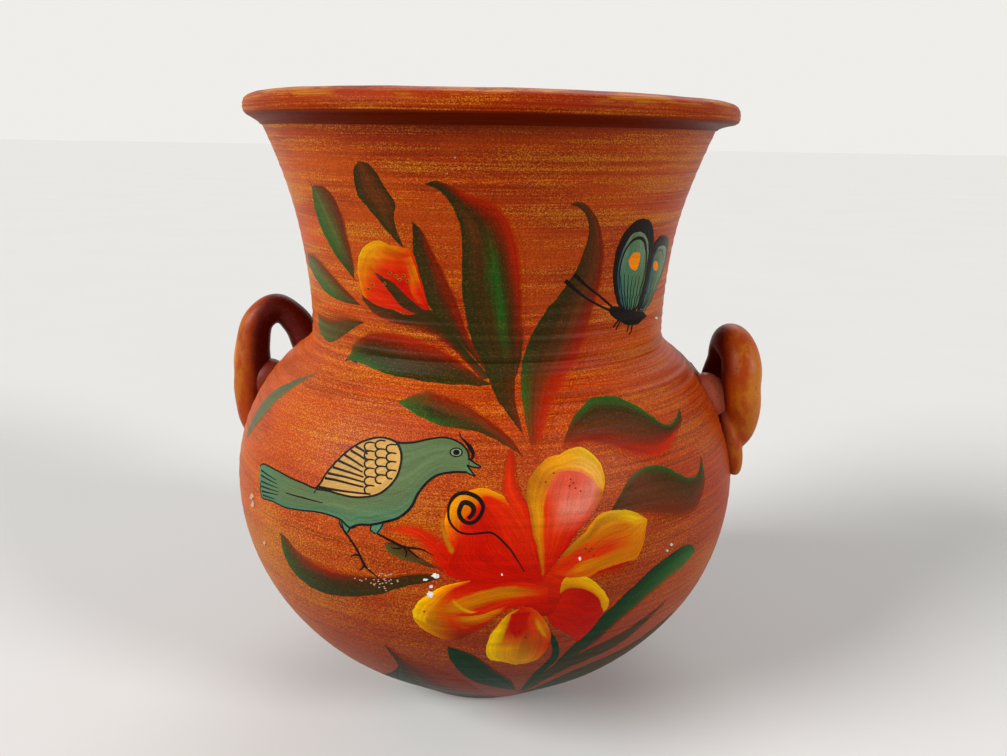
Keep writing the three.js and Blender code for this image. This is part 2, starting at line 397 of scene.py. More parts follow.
def lip_piece():
    """The lip, which keeps each point's height in the plain section for its finish."""
    left, right = rounded(LIP_LEFT, LIP_ROUNDING), rounded(LIP_RIGHT, LIP_ROUNDING)
    lean = 0.5 + 0.5 * np.cos(turns - VIEW_RIGHT)[None, :, None]
    section = left[:, None, :] * (1 - lean) + right[:, None, :] * lean
    radius, height = section[..., 0], section[..., 1]
    rise = np.clip((height - NECK_TOP) / LIP_EASE, 0, 1)
    lumps = sum(amount * np.cos(count * turns + phase) for amount, count, phase in LIP_LUMPS)
    rings = sum(amount * np.cos(height * rate + lead * turns) for amount, rate, lead in LIP_RINGS)
    tilt = LIP_TILT * (1 + np.cos(turns - VIEW_RIGHT))
    radius = radius + rise * (lumps + rings - LIP_INSET)
    height = np.minimum(height - rise * tilt + LUMP_RISE * rise * lumps, LIP_CEILING)
    spun = np.stack([radius * np.cos(turns), radius * np.sin(turns), height], -1) * MM
    faces = grid_faces(len(spun), AROUND, wrap_rows=True, wrap_columns=True)
    made = make_piece("lip", spun, faces, "rim_coil", sharp_degrees=70)
    level = made.data.attributes.new("level", "FLOAT", "POINT")
    level.data.foreach_set("value", section[..., 1].ravel())
    return made


lip = lip_piece()
print("lip", len(lip.data.polygons), "faces")

# %% [markdown]
# ## Coil handles
#
# Each handle is a rolled coil, bent into a loop and pressed on, with its tail smeared down the wall and a
# wad of clay worked into the corner. A swept tube gives the coil. Its tail is an extra lump, and a voxel
# remesh melts tube and lump into one skin, as the potter's thumb does. The part that would show inside the
# pot is pushed back into the wall.

# %% Handle helpers
COIL_STEPS, COIL_SIDES = 110, 30
ROOT_DEPTH = 3.0
CLAY_GRAIN = 0.75 * MM
CURVE_STEPS = 40
KNOT_PAIRS = [[(-1, 0), (0, 1), (1, 2)], [(-1, 1), (0, 2)], [(0, 1)]]
EGG_SEGMENTS, EGG_POLE = 32, 0.02
LEAST_SLOPE = 0.3
# The coil's ends are height and front, thick is its radius along it, and its loop is distance out, front and
# height. Tail and wad are length, width, thickness, height and front. Heights and distances out count from
# the belly's widest ring.
HANDLES = {
    "right": dict(
        side=1, upper=(29, -15), lower=(12, 3), thick=[7.4, 7.3, 7.4, 7.6, 7.9, 7.9, 7.2, 4.8],
        loop=[(-5.5, -14, 47), (-4.2, -5, 57.6), (-0.3, 3, 53), (1.1, 6, 41), (1.2, 4, 26)],
        tail=(14.5, 5, 5.2, 17, 8), wad=(13, 7, 7.4, 33.5, 3),
    ),
    "left": dict(
        side=-1, upper=(47, -5), lower=(5, 6), thick=[7.2, 6.6, 6.3, 7.0, 8.0, 8.0, 7.4, 5.8],
        loop=[(-18, -4, 57), (-10.6, -1, 63.4), (-3.4, 3, 58.4), (-0.3, 4, 47), (0.15, 5, 34),
              (0.2, 6, 21)],
        tail=(13, 6.5, 4.6, 9, 6), wad=(11, 8, 11.5, 30, 4),
    ),
}


def in_wall(side, depth, front, height):
    """A point in the wall beside a handle, at a depth under the skin."""
    radius = outline_at(BELLY_HEIGHT + height)[0] - depth
    return np.array([side * math.sqrt(radius**2 - front**2), -front, BELLY_HEIGHT + height])


def smooth_line(points, steps):
    """Centripetal Catmull-Rom curve through points, evenly stepped."""
    points = np.asarray(points, float)
    points = np.concatenate([[2 * points[0] - points[1]], points, [2 * points[-1] - points[-2]]])
    knots = np.concatenate([[0], np.cumsum(np.linalg.norm(np.diff(points, axis=0), axis=1) ** 0.5)])
    pieces = []
    for k in range(1, len(points) - 2):
        t = np.linspace(knots[k], knots[k + 1], CURVE_STEPS)[:, None]
        spots = [points[k - 1 + j][None] for j in range(4)]
        for pairs in KNOT_PAIRS:
            spots = [
                spots[j]
                + (spots[j + 1] - spots[j]) * (t - knots[k + low]) / (knots[k + high] - knots[k + low])
                for j, (low, high) in enumerate(pairs)
            ]
        pieces.append(spots[0])
    path = np.concatenate(pieces)
    return at_distances(path, np.linspace(0, way_along(path)[-1], steps))


def tube(path, radius):
    """Points and faces of a closed tube along a path, with frames carried on without twist."""
    along = np.gradient(path, axis=0)
    along /= np.linalg.norm(along, axis=1)[:, None]
    across = np.cross(along[0], (0, 0, 1.0))
    rings = []
    for k, direction in enumerate(along):
        across = across - direction * (across @ direction)
        across /= np.linalg.norm(across)
        other = np.cross(direction, across)
        spin = np.arange(COIL_SIDES)[:, None] * 2 * np.pi / COIL_SIDES
        rings.append(path[k] + radius[k] * (np.cos(spin) * across + np.sin(spin) * other))
    faces = grid_faces(COIL_STEPS, COIL_SIDES, wrap_columns=True)
    last = (COIL_STEPS - 1) * COIL_SIDES
    faces += [tuple(range(COIL_SIDES))[::-1], tuple(range(last, last + COIL_SIDES))]
    return np.concatenate(rings), faces


def lump(handle, length, width, thickness, height, front):
    """An egg of clay on the wall, longest along the slope."""
    rows = EGG_SEGMENTS // 2
    tilt = math.asin(height / SHOULDER_ARC)
    down = np.linspace(EGG_POLE, math.pi - EGG_POLE, rows)[:, None]
    spin = np.arange(EGG_SEGMENTS)[None, :] * 2 * np.pi / EGG_SEGMENTS
    flat, tall = np.sin(down), -np.cos(down) + 0 * spin
    ball = np.stack([flat * np.cos(spin), flat * np.sin(spin), tall], -1)
    egg = ball.reshape(-1, 3) * (thickness, width, length)
    lean, up = math.sin(tilt), math.cos(tilt)
    turned = np.array([[up, 0, -lean], [0, 1, 0], [lean, 0, up]])
    egg = (egg @ turned.T) * (handle["side"], handle["side"], 1)
    faces = grid_faces(rows, EGG_SEGMENTS, wrap_columns=True)
    last = (rows - 1) * EGG_SEGMENTS
    faces += [tuple(range(EGG_SEGMENTS))[::-1], tuple(range(last, last + EGG_SEGMENTS))]
    return egg + in_wall(handle["side"], 0, front, height), faces


def melted(name, solids, smooth_steps):
    """Solids in millimetres, joined and melted into one skin by a voxel remesh; returns points and faces."""
    points, faces, start = [], [], 0
    for solid_points, solid_faces in solids:
        points.append(solid_points * MM)
        faces += [tuple(start + corner for corner in face) for face in solid_faces]
        start += len(solid_points)
    mesh = bpy.data.meshes.new(name + "_lumps")
    mesh.from_pydata(np.concatenate(points).tolist(), [], faces)
    holder = bpy.data.objects.new(name + "_lumps", mesh)
    bpy.context.scene.collection.objects.link(holder)
    remesh = holder.modifiers.new("melt", "REMESH")
    remesh.mode = "VOXEL"
    remesh.voxel_size = CLAY_GRAIN
    smooth = holder.modifiers.new("thumb", "SMOOTH")
    smooth.iterations = smooth_steps
    view = bpy.context.evaluated_depsgraph_get()
    result = bpy.data.meshes.new_from_object(holder.evaluated_get(view))
    points = np.array([vertex.co for vertex in result.vertices]) / MM
    faces = [tuple(face.vertices) for face in result.polygons]
    bpy.data.objects.remove(holder)
    for leftover in (mesh, result):
        bpy.data.meshes.remove(leftover)
    return points, faces


def kept_out(points):
    """Points deeper in the wall than the root depth are brought back to it, so nothing shows inside."""
    radius, out, _ = outline_at(points[:, 2])
    spread = np.hypot(points[:, 0], points[:, 1])
    deep = (radius - spread) * out > ROOT_DEPTH
    fixed = points.copy()
    scale = (radius - ROOT_DEPTH / np.maximum(out, LEAST_SLOPE)) / spread
    fixed[deep, :2] *= scale[deep, None]
    return fixed


print("Handle coils:", {name: max(data["thick"]) * 2 for name, data in HANDLES.items()}, "mm thick")

# %% [markdown]
# ## Bending the coils
#
# The coil starts in the wall, bends through a few points read from its outline and ends in the wall again,
# a little thicker where the thumb let go. How far each point lies on the outer side of the loop is kept
# with it, because the finish paints light on that side and shade towards the pot. The wad is one egg of
# clay, pressed into the corner.

# %% Handles and wads
COIL_WAVES = [(0.16, 21, 1), (0.12, 43, 0)]
COIL_SMOOTHING, WAD_SMOOTHING = 6, 4


def handle_piece(name, data):
    """Points and faces of a coil, and how far each point lies towards the loop's outer side."""
    side = data["side"]
    ends = [in_wall(side, ROOT_DEPTH, front, height) for height, front in (data["upper"], data["lower"])]
    loop = [(side * (BELLY_RADIUS + out), -front, BELLY_HEIGHT + up) for out, front, up in data["loop"]]
    path = smooth_line([ends[0], *loop, ends[1]], COIL_STEPS)
    share = np.linspace(0, 1, COIL_STEPS)
    uneven = sum(amount * np.cos(share * rate + lead * side) for amount, rate, lead in COIL_WAVES)
    thick = smooth_line(np.stack([np.linspace(0, 1, len(data["thick"])), data["thick"]], 1), COIL_STEPS)
    radius = np.interp(share, *thick.T) + uneven
    points, faces = melted(name, [tube(path, radius), lump(data, *data["tail"])], COIL_SMOOTHING)
    points = kept_out(points)
    nearest = np.linalg.norm(points[:, None] - path[None], axis=2).argmin(1)
    away = path[nearest] - path.mean(0)
    away /= np.linalg.norm(away, axis=1)[:, None]
    outer = ((points - path[nearest]) * away).sum(1) / radius[nearest]
    return points, faces, outer


def wad_piece(name, data):
    """Points and faces of the clay in a handle's corner."""
    points, faces = melted(name, [lump(data, *data["wad"])], WAD_SMOOTHING)
    return kept_out(points), faces


for side_name, data in HANDLES.items():
    points, faces, outer = handle_piece(side_name + "_loop", data)
    handle = make_piece(side_name + "_coil", points * MM, faces, side_name + "_handle")
    handle.data.attributes.new("outer", "FLOAT", "POINT").data.foreach_set("value", outer)
    points, faces = wad_piece(side_name + "_corner", data)
    wad = make_piece(side_name + "_wad", points * MM, faces, side_name + "_handle_wad")
    print(handle.name, len(handle.data.polygons), wad.name, len(wad.data.polygons))

# %% [markdown]
# ## Node helpers
#
# A finish is a small network of nodes. Writing each node by hand takes many lines, so a few helpers add one
# node, set its sockets from numbers or links, and give back the socket that comes next.

# %% Small tools for node trees
def on_screen(code):
    """The red, green and blue shares of a colour written as six hex digits."""
    return np.array([int(code[k : k + 2], 16) / 255 for k in (0, 2, 4)])


def as_light(screen):
    """Screen colours, which are bent for the eye, as the light that Blender mixes."""
    return np.where(screen <= 0.04045, screen / 12.92, ((screen + 0.055) / 1.055) ** 2.4)


def tint(code):
    """A colour for a socket, with nothing showing through."""
    return (*as_light(on_screen(code)), 1.0)


def add(tree, kind, sockets=None, **settings):
    """A new node, with its settings, and its sockets set from numbers or links."""
    made = tree.nodes.new("ShaderNode" + kind)
    for key, value in settings.items():
        setattr(made, key, value)
    for key, value in (sockets or {}).items():
        if isinstance(value, bpy.types.NodeSocket):
            tree.links.new(value, made.inputs[key])
        else:
            made.inputs[key].default_value = value
    return made


def blend(tree, share, first, second):
    """The colour between two colours."""
    return add(tree, "Mix", {0: share, 6: first, 7: second}, data_type="RGBA").outputs[2]


def span(tree, value, low, high, to_low=0.0, to_high=1.0):
    """A value eased from one range into another."""
    sockets = {"Value": value, 1: low, 2: high, 3: to_low, 4: to_high}
    return add(tree, "MapRange", sockets, interpolation_type="SMOOTHSTEP").outputs[0]


def sums(tree, operation, *values):
    """The result of one sum, product or other operation on values."""
    return add(tree, "Math", dict(enumerate(values)), operation=operation).outputs[0]


def grain(tree, place, stretch, detail=3.0, rough=0.6, offset=(0, 0, 0)):
    """Noise read from a place in millimetres, with a number of features per millimetre along each axis."""
    spot = add(tree, "Mapping", {"Vector": place, "Scale": stretch, "Location": offset}).outputs[0]
    sockets = {"Vector": spot, "Scale": 1.0, "Detail": detail, "Roughness": rough}
    return add(tree, "TexNoise", sockets).outputs[0]


def scaled(tree, vector, factor):
    """A place made larger, or a colour made lighter or darker."""
    return add(tree, "VectorMath", {0: vector, "Scale": factor}, operation="SCALE").outputs[0]


def place_in_mm(tree):
    """The place on a piece, in millimetres."""
    return scaled(tree, add(tree, "TexCoord").outputs["Object"], 1 / MM)


def new_finish(name, spec):
    """A new material with its node tree and its shader, and the strength of its shine."""
    finish = bpy.data.materials.new(name)
    finish.use_nodes = True
    shader = finish.node_tree.nodes["Principled BSDF"]
    shader.inputs["Specular IOR Level"].default_value = spec
    return finish, finish.node_tree, shader


def bump(tree, height, depth_mm):
    """The direction of a surface with fine relief, from a height that reaches a depth in millimetres."""
    return add(tree, "Bump", {"Height": height, "Distance": depth_mm * MM, "Strength": 1.0}).outputs[0]


def set_surface(tree, shader, colour, rough, normal):
    """Links a finish's colour, roughness and relief to its shader."""
    for socket, value in (("Base Color", colour), ("Roughness", rough), ("Normal", normal)):
        tree.links.new(value, shader.inputs[socket])


print("Node helpers ready")

# %% [markdown]
# ## The brushed ground
#
# The pot was coated with rust paint, and a nearly dry brush then dragged ochre round it while it turned.
# The ochre catches only the tops of the sandy clay, so it shows as level streaks that break up into specks.
# Noise that is long round the pot and short up it gives the streaks, and a fine even noise breaks them.

# %% Ground colours and finish
RUST_DEEP, RUST, ORANGE = tint("721402"), tint("a82a02"), tint("b84604")
OCHRE, SPECK, BRICK = tint("b0640a"), tint("d48428"), tint("701c06")
CLAY_DARK, CLAY_PALE, CLAY_SAND = tint("8f4a2a"), tint("b0694a"), tint("c98d68")
# Features per millimetre along each axis.
LEVEL_STREAKS, HAIR_STREAKS, SANDY = (0.016, 0.016, 0.26), (0.009, 0.009, 1.7), (2.0, 2.0, 2.3)
PATCHES, WASHES = (0.02, 0.02, 0.04), (0.02, 0.02, 0.06)
# Heights in millimetres between which the ground changes.
STREAKS_START, NECK_PAINTED_LIGHT, SPECKS_END = (105.0, 165.0), (150.0, 190.0), (140.0, 185.0)
FOOT_BRICK, SHADE_UNDER_LIP, PALER_ABOVE = (35.0, 85.0), (226.0, 241.0), (80.0, 160.0)
# From the left of the pot, where the brush was full, to the right, in millimetres.
BRUSH_EMPTIES = (-70.0, 15.0)


def ground_parts(tree):
    """Colour, roughness and height of the brushed ground."""
    place = place_in_mm(tree)
    parts = add(tree, "SeparateXYZ", {0: place}).outputs
    height = parts[2]
    level = grain(tree, place, LEVEL_STREAKS, 4.0, 0.6)
    hair = grain(tree, place, HAIR_STREAKS, 4.0, 0.65, (3, 7, 1))
    sand = grain(tree, place, SANDY, 1.5, 0.6, (5, 1, 9))
    patch = grain(tree, place, PATCHES, 2.0, 0.5, (2, 4, 6))
    wash = grain(tree, place, WASHES, 2.0, 0.5, (7, 3, 8))
    streaky = span(tree, height, *STREAKS_START, 0.3, 1.0)
    brush_load_and_neck_light = span(tree, parts[0], *BRUSH_EMPTIES, 1.1, 0.55)
    # Painted light: more orange and ochre up the neck, lightening its downward-facing flare.
    brush_load_and_neck_light = sums(tree, "ADD", brush_load_and_neck_light, span(tree, height, *NECK_PAINTED_LIGHT, 0.0, 0.3))
    base = blend(tree, span(tree, hair, 0.32, 0.68), RUST_DEEP, RUST)
    washed = span(tree, wash, 0.38, 0.62, 0.3, 0.75)
    base = blend(tree, sums(tree, "MULTIPLY", brush_load_and_neck_light, washed), base, ORANGE)
    base = blend(tree, span(tree, height, *FOOT_BRICK, 0.6, 0.0), base, BRICK)
    # Painted shade: the top of the neck darkens towards deep rust under the overhanging lip.
    base = blend(tree, span(tree, height, *SHADE_UNDER_LIP, 0.0, 0.45), base, RUST_DEEP)
    streak = sums(tree, "MULTIPLY_ADD", level, 0.62, sums(tree, "MULTIPLY", hair, 0.38))
    calm = sums(tree, "MULTIPLY_ADD", patch, 0.4, 0.3)
    drag = add(tree, "Mix", {0: streaky, 2: calm, 3: streak}, data_type="FLOAT").outputs[0]
    drag = sums(tree, "MULTIPLY_ADD", patch, 0.2, drag)
    dry = sums(tree, "MULTIPLY_ADD", sand, 0.3, drag)
    base = blend(tree, sums(tree, "MULTIPLY", brush_load_and_neck_light, span(tree, dry, 0.73, 0.87, 0.0, 0.72)), base, OCHRE)
    even = span(tree, height, *SPECKS_END, 0.45, 0.12)
    caught = add(tree, "MapRange", {0: drag, 1: 0.54, 2: 0.72, 3: even, 4: 1.0}).outputs[0]
    fleck = sums(tree, "MULTIPLY", span(tree, sand, 0.52, 0.66), caught)
    base = blend(tree, sums(tree, "MULTIPLY", brush_load_and_neck_light, fleck), base, SPECK)
    shade = span(tree, sand, 0.32, 0.56, 0.68, 1.06)
    shade = sums(tree, "MULTIPLY", shade, span(tree, hair, 0.3, 0.6, 0.91, 1.04))
    shade = sums(tree, "MULTIPLY", shade, span(tree, height, *PALER_ABOVE, 0.94, 1.03))
    base = scaled(tree, base, shade)
    rough = span(tree, sand, 0.3, 0.7, 0.34, 0.5)
    bumps = sums(tree, "MULTIPLY_ADD", hair, 0.7, sand)
    return base, rough, bumps


def ground_finish():
    """The brushed ground by itself."""
    finish, tree, shader = new_finish("brushed_ground", spec=0.11)
    colour, rough, height = ground_parts(tree)
    set_surface(tree, shader, colour, rough, bump(tree, height, depth_mm=0.16))
    return finish


def bare_finish():
    """Unpainted fired clay for the inside and the foot."""
    finish, tree, shader = new_finish("bare_clay", spec=0.3)
    place = place_in_mm(tree)
    level = grain(tree, place, (0.03, 0.03, 0.5), 4.0)
    sand = grain(tree, place, (1.1, 1.1, 1.1), 3.0, 0.7)
    colour = blend(tree, span(tree, level, 0.3, 0.7), CLAY_DARK, CLAY_PALE)
    colour = blend(tree, span(tree, sand, 0.5, 0.75, 0.0, 0.6), colour, CLAY_SAND)
    set_surface(tree, shader, colour, span(tree, sand, 0.3, 0.7, 0.7, 0.9), bump(tree, sand, depth_mm=0.2))
    return finish


ground, bare = ground_finish(), bare_finish()
print("Finishes:", ground.name, bare.name)

# %% [markdown]
# ## Paint on the lip and the handles
#
# The lip has the same paint, redder and in longer streaks, worn to gold and maroon on its crown, with painted
# shade in the hollow under it. The coils have painted light and shade: amber with ochre mottle and a painted
# highlight on the outer side, dark painted shade towards the pot. Each finish starts from the place on the
# piece, and from the level or outer side kept at its points, so the wear and the painted light sit where they
# belong.

# %% Lip and handle finishes
LIP_RED, LIP_GILT, LIP_WORN, LIP_PIT = tint("8a2404"), tint("bc7a14"), tint("70240a"), tint("2a0802")
COVE_SHADE_DARK, COVE_SHADE_RED, PIT_DARK = tint("540c02"), tint("8e2e08"), tint("4a1004")
# Painted shade towards the pot, shank, painted light with ochre mottle on the outer side, and painted
# highlight on the crest.
COIL_COLOURS = ("4c0a02", "9c3a04", "ac600a", "c67a2a")
WAD_COLOURS = {
    "right": ("b0553c", "b45c40", "aa4c30", "c06c50"),
    "left": ("702418", "803022", "883626", "984636"),
}
# Heights in the lip's section, and places from left to right, in millimetres.
GILT_LEVELS, WORN_LEVELS, COVE_SHADE_LEVELS = (246.5, 249.5), (250.2, 251.2), (244.9, 243.2)
COVE_SHADE_SIDE, PITTED_SIDE = (-92.0, -45.0), (30.0, 80.0)
# Distances from the pot's axis between which a coil changes, from painted shade to painted light and
# highlight, and the heights where the crest's painted highlight begins.
COIL_SHADED, COIL_LIT_SIDE, COIL_HIGHLIGHT = (104.5, 112.5), (109.0, 116.0), (117.0, 125.0)
HIGHLIGHT_HEIGHTS = (116.0, 140.0)


def lip_finish():
    """Redder ground in longer streaks, a maroon worn crown, and painted shade in the cove under the face."""
    finish, tree, shader = new_finish("lip_paint", spec=0.04)
    colour, rough, bumps = ground_parts(tree)
    place = place_in_mm(tree)
    level = add(tree, "Attribute", attribute_name="level").outputs["Fac"]
    streak = grain(tree, place, (0.025, 0.025, 1.4), 4.0, 0.6, (8, 2, 5))
    worn = grain(tree, place, (0.05, 0.05, 0.3), 4.0, 0.7, (1, 9, 4))
    colour = blend(tree, span(tree, streak, 0.36, 0.6, 0.9, 0.1), colour, LIP_RED)
    gilt = sums(tree, "MULTIPLY", span(tree, level, *GILT_LEVELS), span(tree, worn, 0.56, 0.4))
    gilt = sums(tree, "MULTIPLY", gilt, span(tree, streak, 0.38, 0.56, 0.08, 0.6))
    colour = blend(tree, gilt, colour, LIP_GILT)
    crown = sums(tree, "MULTIPLY", span(tree, level, *WORN_LEVELS), span(tree, worn, 0.44, 0.6))
    colour = blend(tree, crown, colour, LIP_WORN)
    aside = add(tree, "SeparateXYZ", {0: place}).outputs[0]
    # Painted shade: the cove under the lip's face is darkened, a little less at the far left.
    cove = span(tree, aside, *COVE_SHADE_SIDE, 0.55, 0.95)
    cove = sums(tree, "MULTIPLY", span(tree, level, *COVE_SHADE_LEVELS), cove)
    colour = blend(tree, cove, colour, blend(tree, streak, COVE_SHADE_DARK, COVE_SHADE_RED))
    pit = grain(tree, place, (0.5, 0.5, 0.7), 2.0, 0.6, (3, 5, 2))
    pit = sums(tree, "MULTIPLY", span(tree, pit, 0.33, 0.27, 0.0, 0.9), span(tree, aside, *PITTED_SIDE))
    colour = blend(tree, pit, colour, LIP_PIT)
    set_surface(tree, shader, colour, rough, bump(tree, bumps, depth_mm=0.12))
    return finish


def handle_finish(name, hollow, shank, lit_side, crest):
    """Painted light and highlight on the coil's outer side, painted shade towards the pot, and small pits."""
    finish, tree, shader = new_finish(name, spec=0.14)
    place = place_in_mm(tree)
    level = add(tree, "VectorMath", {0: place, 1: (1.0, 1.0, 0.0)}, operation="MULTIPLY").outputs[0]
    reach = add(tree, "VectorMath", {0: level}, operation="LENGTH").outputs["Value"]
    cloud = grain(tree, place, (0.09, 0.09, 0.06), 3.0, 0.6)
    sand = grain(tree, place, (0.9, 0.9, 0.9), 3.0, 0.7)
    outer = add(tree, "Attribute", attribute_name="outer").outputs["Fac"]
    reach = sums(tree, "MULTIPLY_ADD", cloud, 9.0, sums(tree, "MULTIPLY_ADD", outer, 5.0, reach))
    # Painted shade on the side of the coil towards the pot.
    colour = blend(tree, span(tree, reach, *COIL_SHADED), tint(hollow), tint(shank))
    mottle = grain(tree, place, (0.16, 0.16, 0.1), 3.0, 0.6, (6, 2, 3))
    # Painted light on the outer side, mottled with ochre paint.
    gold = sums(tree, "MULTIPLY", span(tree, mottle, 0.44, 0.6, 0.0, 0.75), span(tree, reach, *COIL_LIT_SIDE))
    colour = blend(tree, gold, colour, tint(lit_side))
    # Painted highlight on the outer crest, stronger higher up.
    low = span(tree, add(tree, "SeparateXYZ", {0: place}).outputs[2], *HIGHLIGHT_HEIGHTS, 0.25, 1.0)
    colour = blend(tree, sums(tree, "MULTIPLY", low, span(tree, reach, *COIL_HIGHLIGHT)), colour, tint(crest))
    colour = blend(tree, span(tree, sand, 0.5, 0.72, 0.0, 0.2), colour, tint(shank))
    colour = blend(tree, span(tree, sand, 0.42, 0.3, 0.0, 0.6), colour, PIT_DARK)
    set_surface(tree, shader, colour, span(tree, sand, 0.3, 0.7, 0.32, 0.46), bump(tree, sand, depth_mm=0.12))
    return finish


lip.data.materials.append(lip_finish())
coil_paint = handle_finish("coil_paint", *COIL_COLOURS)
wad_paint = {side: handle_finish(side + "_wad_paint", *colours) for side, colours in WAD_COLOURS.items()}
for side_name in HANDLES:
    bpy.data.objects[side_name + "_coil"].data.materials.append(coil_paint)
    bpy.data.objects[side_name + "_wad"].data.materials.append(wad_paint[side_name])
print("Finishes:", coil_paint.name, *(finish.name for finish in wad_paint.values()))

# %% [markdown]
# ## Painted outside, bare inside
#
# The shells were painted after firing, so the inside and the foot stayed bare clay. Splitting each shell in
# two would break its closed skin, so every face of one mesh takes one of two finishes by the way it looks.

# %% Two finishes on each shell
FOOT_BARE, FLOOR_BARE = 2.5, 2


def faces_inwards(middle, normal):
    """Which faces look at the pot's axis, or lie on its floor or under its foot."""
    inward = (middle[:, :2] * normal[:, :2]).sum(1) < 0
    near_axis = np.hypot(middle[:, 0], middle[:, 1]) < BASE_RADIUS - FOOT_BARE
    return inward | near_axis & (middle[:, 2] < FLOOR + FLOOR_BARE)


def two_finishes(piece, outside, inside):
    """Outside and inside finishes on one piece, chosen for each face by its middle and normal."""
    piece.data.materials.append(outside)
    piece.data.materials.append(inside)
    middles = np.zeros(len(piece.data.polygons) * 3)
    normals = np.zeros(len(piece.data.polygons) * 3)
    piece.data.polygons.foreach_get("center", middles)
    piece.data.polygons.foreach_get("normal", normals)
    chosen = faces_inwards(middles.reshape(-1, 3) / MM, normals.reshape(-1, 3)).astype(np.int32)
    piece.data.polygons.foreach_set("material_index", chosen)


for piece in (bowl, body, neck):
    two_finishes(piece, ground, bare)
    print(piece.name, [finish.name for finish in piece.data.materials])

# %% [markdown]
# ## From a pixel of the photograph to the pot
#
# The painted figures are placed on the photograph. A ray from the camera through a pixel is followed
# until it dips under the outline, which gives a turn round the axis and a height. Painting in these two
# numbers, instead of in the picture, lets every stroke lie on the pot from any side.

# %% Rays onto the pot
RAY_STEPS = np.arange(200.0, 640.0, 2.0)
HALVINGS = 12
eye, rotation = np.array(CAMERA_AT_MM), np.array(camera_rotation())


def clearance(ray, reach):
    """How far the points along rays are outside the outline."""
    point = eye + ray * reach[..., None]
    return np.hypot(point[..., 0], point[..., 1]) - outline_at(point[..., 2])[0]


def cast(spots):
    """Turn and height where the rays through pixels meet the pot, or come nearest to it."""
    across, down = spots[:, 0] - PHOTO_WIDTH / 2, PHOTO_HEIGHT / 2 - spots[:, 1]
    ray = np.stack([across, down, np.full(len(spots), -FOCAL_PIXELS)], 1) @ rotation.T
    ray /= np.linalg.norm(ray, axis=1)[:, None]
    clear = clearance(ray[:, None], np.broadcast_to(RAY_STEPS, (len(ray), len(RAY_STEPS))))
    first = (clear < 0).argmax(1)
    outer, inner = RAY_STEPS[np.maximum(first - 1, 0)], RAY_STEPS[first]
    for _ in range(HALVINGS):
        middle = (outer + inner) / 2
        inside = clearance(ray, middle) < 0
        outer, inner = np.where(inside, outer, middle), np.where(inside, middle, inner)
    reach = np.where((clear < 0).any(1), inner, RAY_STEPS[clear.argmin(1)])
    point = eye + ray * reach[:, None]
    turn = np.arctan2(point[:, 1], point[:, 0])
    turn = np.where(turn > math.pi / 2, turn - 2 * math.pi, turn)
    return np.stack([turn, np.maximum(point[:, 2], FOOT_TOP)], 1)


def seen_depth(places):
    """How far in front of the camera places on the pot are, in millimetres."""
    return -((skin(places[..., 0], places[..., 1]) / MM - eye) @ rotation)[..., 2]


print("Middle of the photograph:", np.round(cast(np.array([[PHOTO_WIDTH / 2, PHOTO_HEIGHT / 2]])), 2))

# %% [markdown]
# ## Strokes of paint
#
# Each stroke is a thin skin of paint between two edges, with its colours given at a few stops across and
# along it, as a loaded brush carries two or three colours at once. The skin is real geometry: a fine grid
# lifted about a tenth of a millimetre off the clay, closed by a rim and an underside in the wall. Colour,
# cover and the direction of the bristles are kept at its points, and the finish turns them into dry,
# streaky paint.

# %% Palette and stroke helpers
# Two pinkish reds and a pale straw hold painted highlight on the tall petal; the darker pinkish red is partly
# the petal's own red.
PALETTE = {
    "green": "1e5416", "deep": "042e16", "dark": "242a0c", "olive": "38260a", "moss": "4c5828",
    "brown": "5a2c10", "maroon": "741a04", "glow": "a01e04", "scarlet": "cc2802", "red": "b80e00",
    "wine": "a00802", "rose": "cc4a30", "pink": "d87662", "orange": "ca6c00", "amber": "da8e06",
    "yellow": "d8a806", "ochre": "a86004", "black": "120c08", "cream": "c4964e", "sage": "566a44",
    "teal": "467456", "mist": "74866a", "blue": "2c525e", "white": "e6e2da", "chalk": "c89c84",
    "slip": "6e4a3c", "lemon": "f0be00", "marigold": "ea8000", "slate": "484c44", "lichen": "565c3c",
    "buff": "b08648", "straw": "e0a23c",
}
PAINT_STEP = 0.5
ROWS_PER_PIXEL = 0.9
LEAST_ROWS, LEAST_COLUMNS, LEAST_LINE_ROWS = 8, 3, 6
UNROLL = 90.0
PAINT_DEPTH = 0.25
LAYER = 0.012
RAGGED = 0.1
WANDER_SPAN, WANDER_MARGIN, WANDER_GAIN = 9, 10, 3
BRISTLE_STEP, LINE_STEP, BRISTLE_SHIFT = 2.4, 0.4, 90
LINE_ROWS = 1.2
PRESS_GAIN, PRESS_LOSS, PRESS_FULL = 1.6, 0.8, 0.75
DRY_MEAN = 0.5
SAME_PLACE = 0.45
LEAF_THIN = 0.9
laid = []
brush_rng = np.random.default_rng(5)


def pixels(text):
    """Points of the photograph, written as x,y pairs."""
    return np.array([[float(number) for number in pair.split(",")] for pair in text.split()])


def linear(shade):
    """Screen colours with their cover, turned into the light that Blender mixes."""
    return np.concatenate([as_light(shade[..., :3]), shade[..., 3:]], -1)


def wander(count, reach):
    """A smooth random line of small steps, for an edge drawn by hand."""
    loose = brush_rng.normal(size=count + 2 * WANDER_MARGIN)
    soft = np.convolve(loose, np.ones(WANDER_SPAN) / WANDER_SPAN, "same")
    return soft[WANDER_MARGIN : WANDER_MARGIN + count] * reach * WANDER_GAIN


def bristles(along, across):
    """Where each point lies under the brush, shifted at random so that no two strokes streak alike."""
    return np.stack(np.broadcast_arrays(along, across, brush_rng.uniform(0, BRISTLE_SHIFT)), -1)


